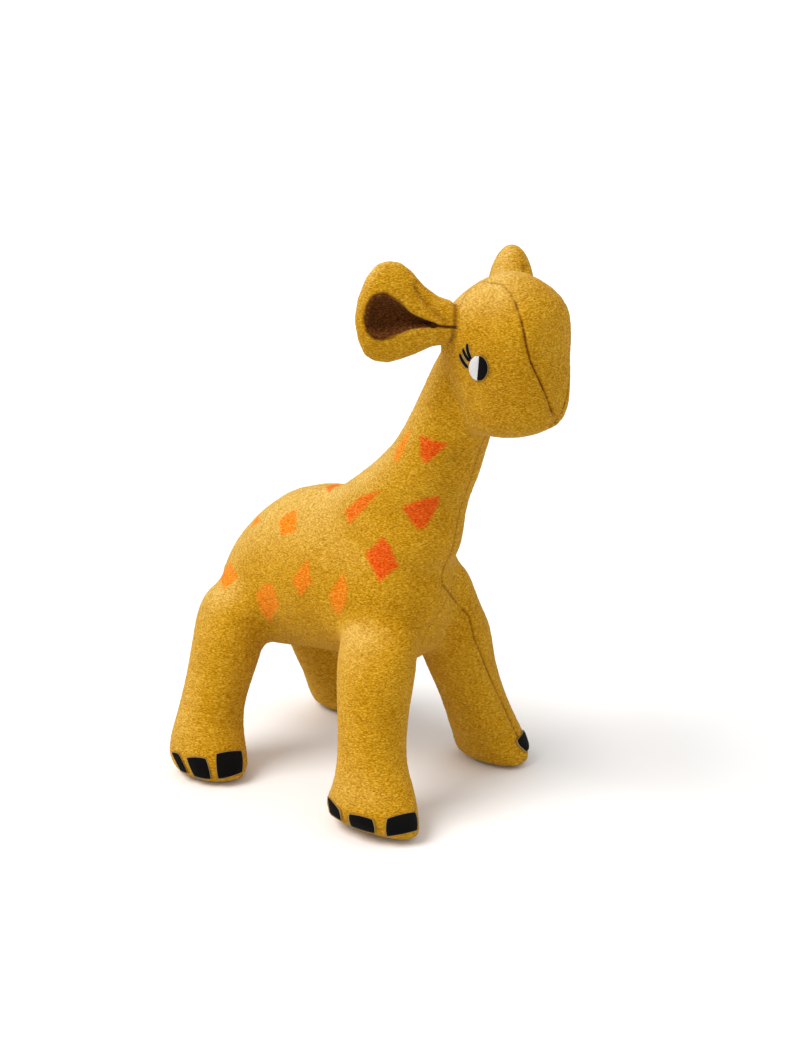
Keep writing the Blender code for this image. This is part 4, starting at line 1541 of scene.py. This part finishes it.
@dataclass
class Studio:
    """Plain pale floor, soft light from the upper left, and a white surround."""

    sky: float = 0.70
    sun: float = 2.1
    sun_from: Place = (-0.55, 0.30, 0.86)

    def build(self) -> None:
        """Sets up the floor, the lamps and the surround."""
        select_only()
        bpy.ops.mesh.primitive_plane_add(size=24.0, location=(0, 0, 0))
        floor = bpy.context.object
        floor.name = "floor"
        floor.data.materials.append(self.paper())
        turn = Vector(self.sun_from).to_track_quat("Z", "Y").to_euler()
        bpy.ops.object.light_add(type="SUN", rotation=turn)
        lamp = bpy.context.object
        lamp.data.energy = self.sun
        lamp.data.angle = math.radians(35)
        lamp.data.color = linear("fffdfa")[:3]
        world = bpy.data.worlds.new("surround")
        bpy.context.scene.world = world
        tree = empty_tree(world)
        path = add_node(tree, "LightPath")
        seen = path.outputs["Is Camera Ray"]
        for ray in ("Is Glossy Ray", "Is Transmission Ray"):
            seen = add_node(tree, "Math", {"operation": "MAXIMUM"}, i0=seen, i1=path.outputs[ray]).outputs[0]
        light, white = (
            add_node(tree, "Background", Color=linear("ffffff"), Strength=strength).outputs[0]
            for strength in (self.sky, 1.0)
        )
        mix = add_node(tree, "MixShader", i0=seen, i1=light, i2=white)
        add_node(tree, "OutputWorld", Surface=mix.outputs[0])
        bpy.context.scene.view_settings.view_transform = "Standard"

    @staticmethod
    def paper() -> Any:
        """Makes the floor's matt paper, faintly fibrous.

        Returns:
            The material: white to the camera, and greyer in the light that it throws back.
        """
        material = bpy.data.materials.new("backdrop_paper")
        tree = empty_tree(material)
        place = add_node(tree, "TexCoord").outputs["Object"]
        fibre = add_node(tree, "TexNoise", Vector=place, Scale=600.0).outputs["Fac"]
        bump = add_node(tree, "Bump", Strength=0.05, Distance=0.0001, Height=fibre).outputs[0]
        path = add_node(tree, "LightPath").outputs["Is Camera Ray"]
        tone = add_node(tree, "Mix", {"data_type": "RGBA"}, i0=path, i6=linear("d8d8d8"), i7=linear("fdfdfd"))
        matt = {"Base_Color": tone.outputs[2], "Roughness": 0.95, "Specular_IOR_Level": 0.0, "Normal": bump}
        surface = add_node(tree, "BsdfPrincipled", **matt).outputs[0]
        add_node(tree, "OutputMaterial", Surface=surface)
        return material


def main() -> None:
    """Builds the studio and the toy, in order."""
    logging.basicConfig(level=logging.INFO, format="%(message)s")
    sight = Sight()
    sight.add_camera()
    Studio().build()
    finishes = Finishes.make()
    legs = [
        Leg(Side.RIGHT, End.FRONT, RIGHT_FRONT_LEG),
        Leg(Side.LEFT, End.FRONT, LEFT_FRONT_LEG),
        Leg(Side.RIGHT, End.REAR, RIGHT_REAR_LEG),
        Leg(Side.LEFT, End.REAR, LEFT_REAR_LEG),
    ]
    builder = Skin(Trunk(), Neck(), Head(), legs)
    skin, sight = builder.build(sight)
    builder.dress(builder.part(skin), finishes)
    right = Ear(Side.RIGHT, (-0.0245, -0.07108, 0.29794), (-0.7359, 0.6626, 0.1392), (-0.6691, -0.7431, 0.0))
    left = Ear(Side.LEFT, (0.0255, -0.07108, 0.2952), (0.825, 0.555, -0.1), (0.558, -0.83, 0), fullness=1.35)
    for ear in (right, left):
        ear.build(finishes)
    Tail().build(finishes)
    Eyes(finishes).build(sight)
    Toenails(finishes).build(sight, legs)


if __name__ == "__main__":
    main()
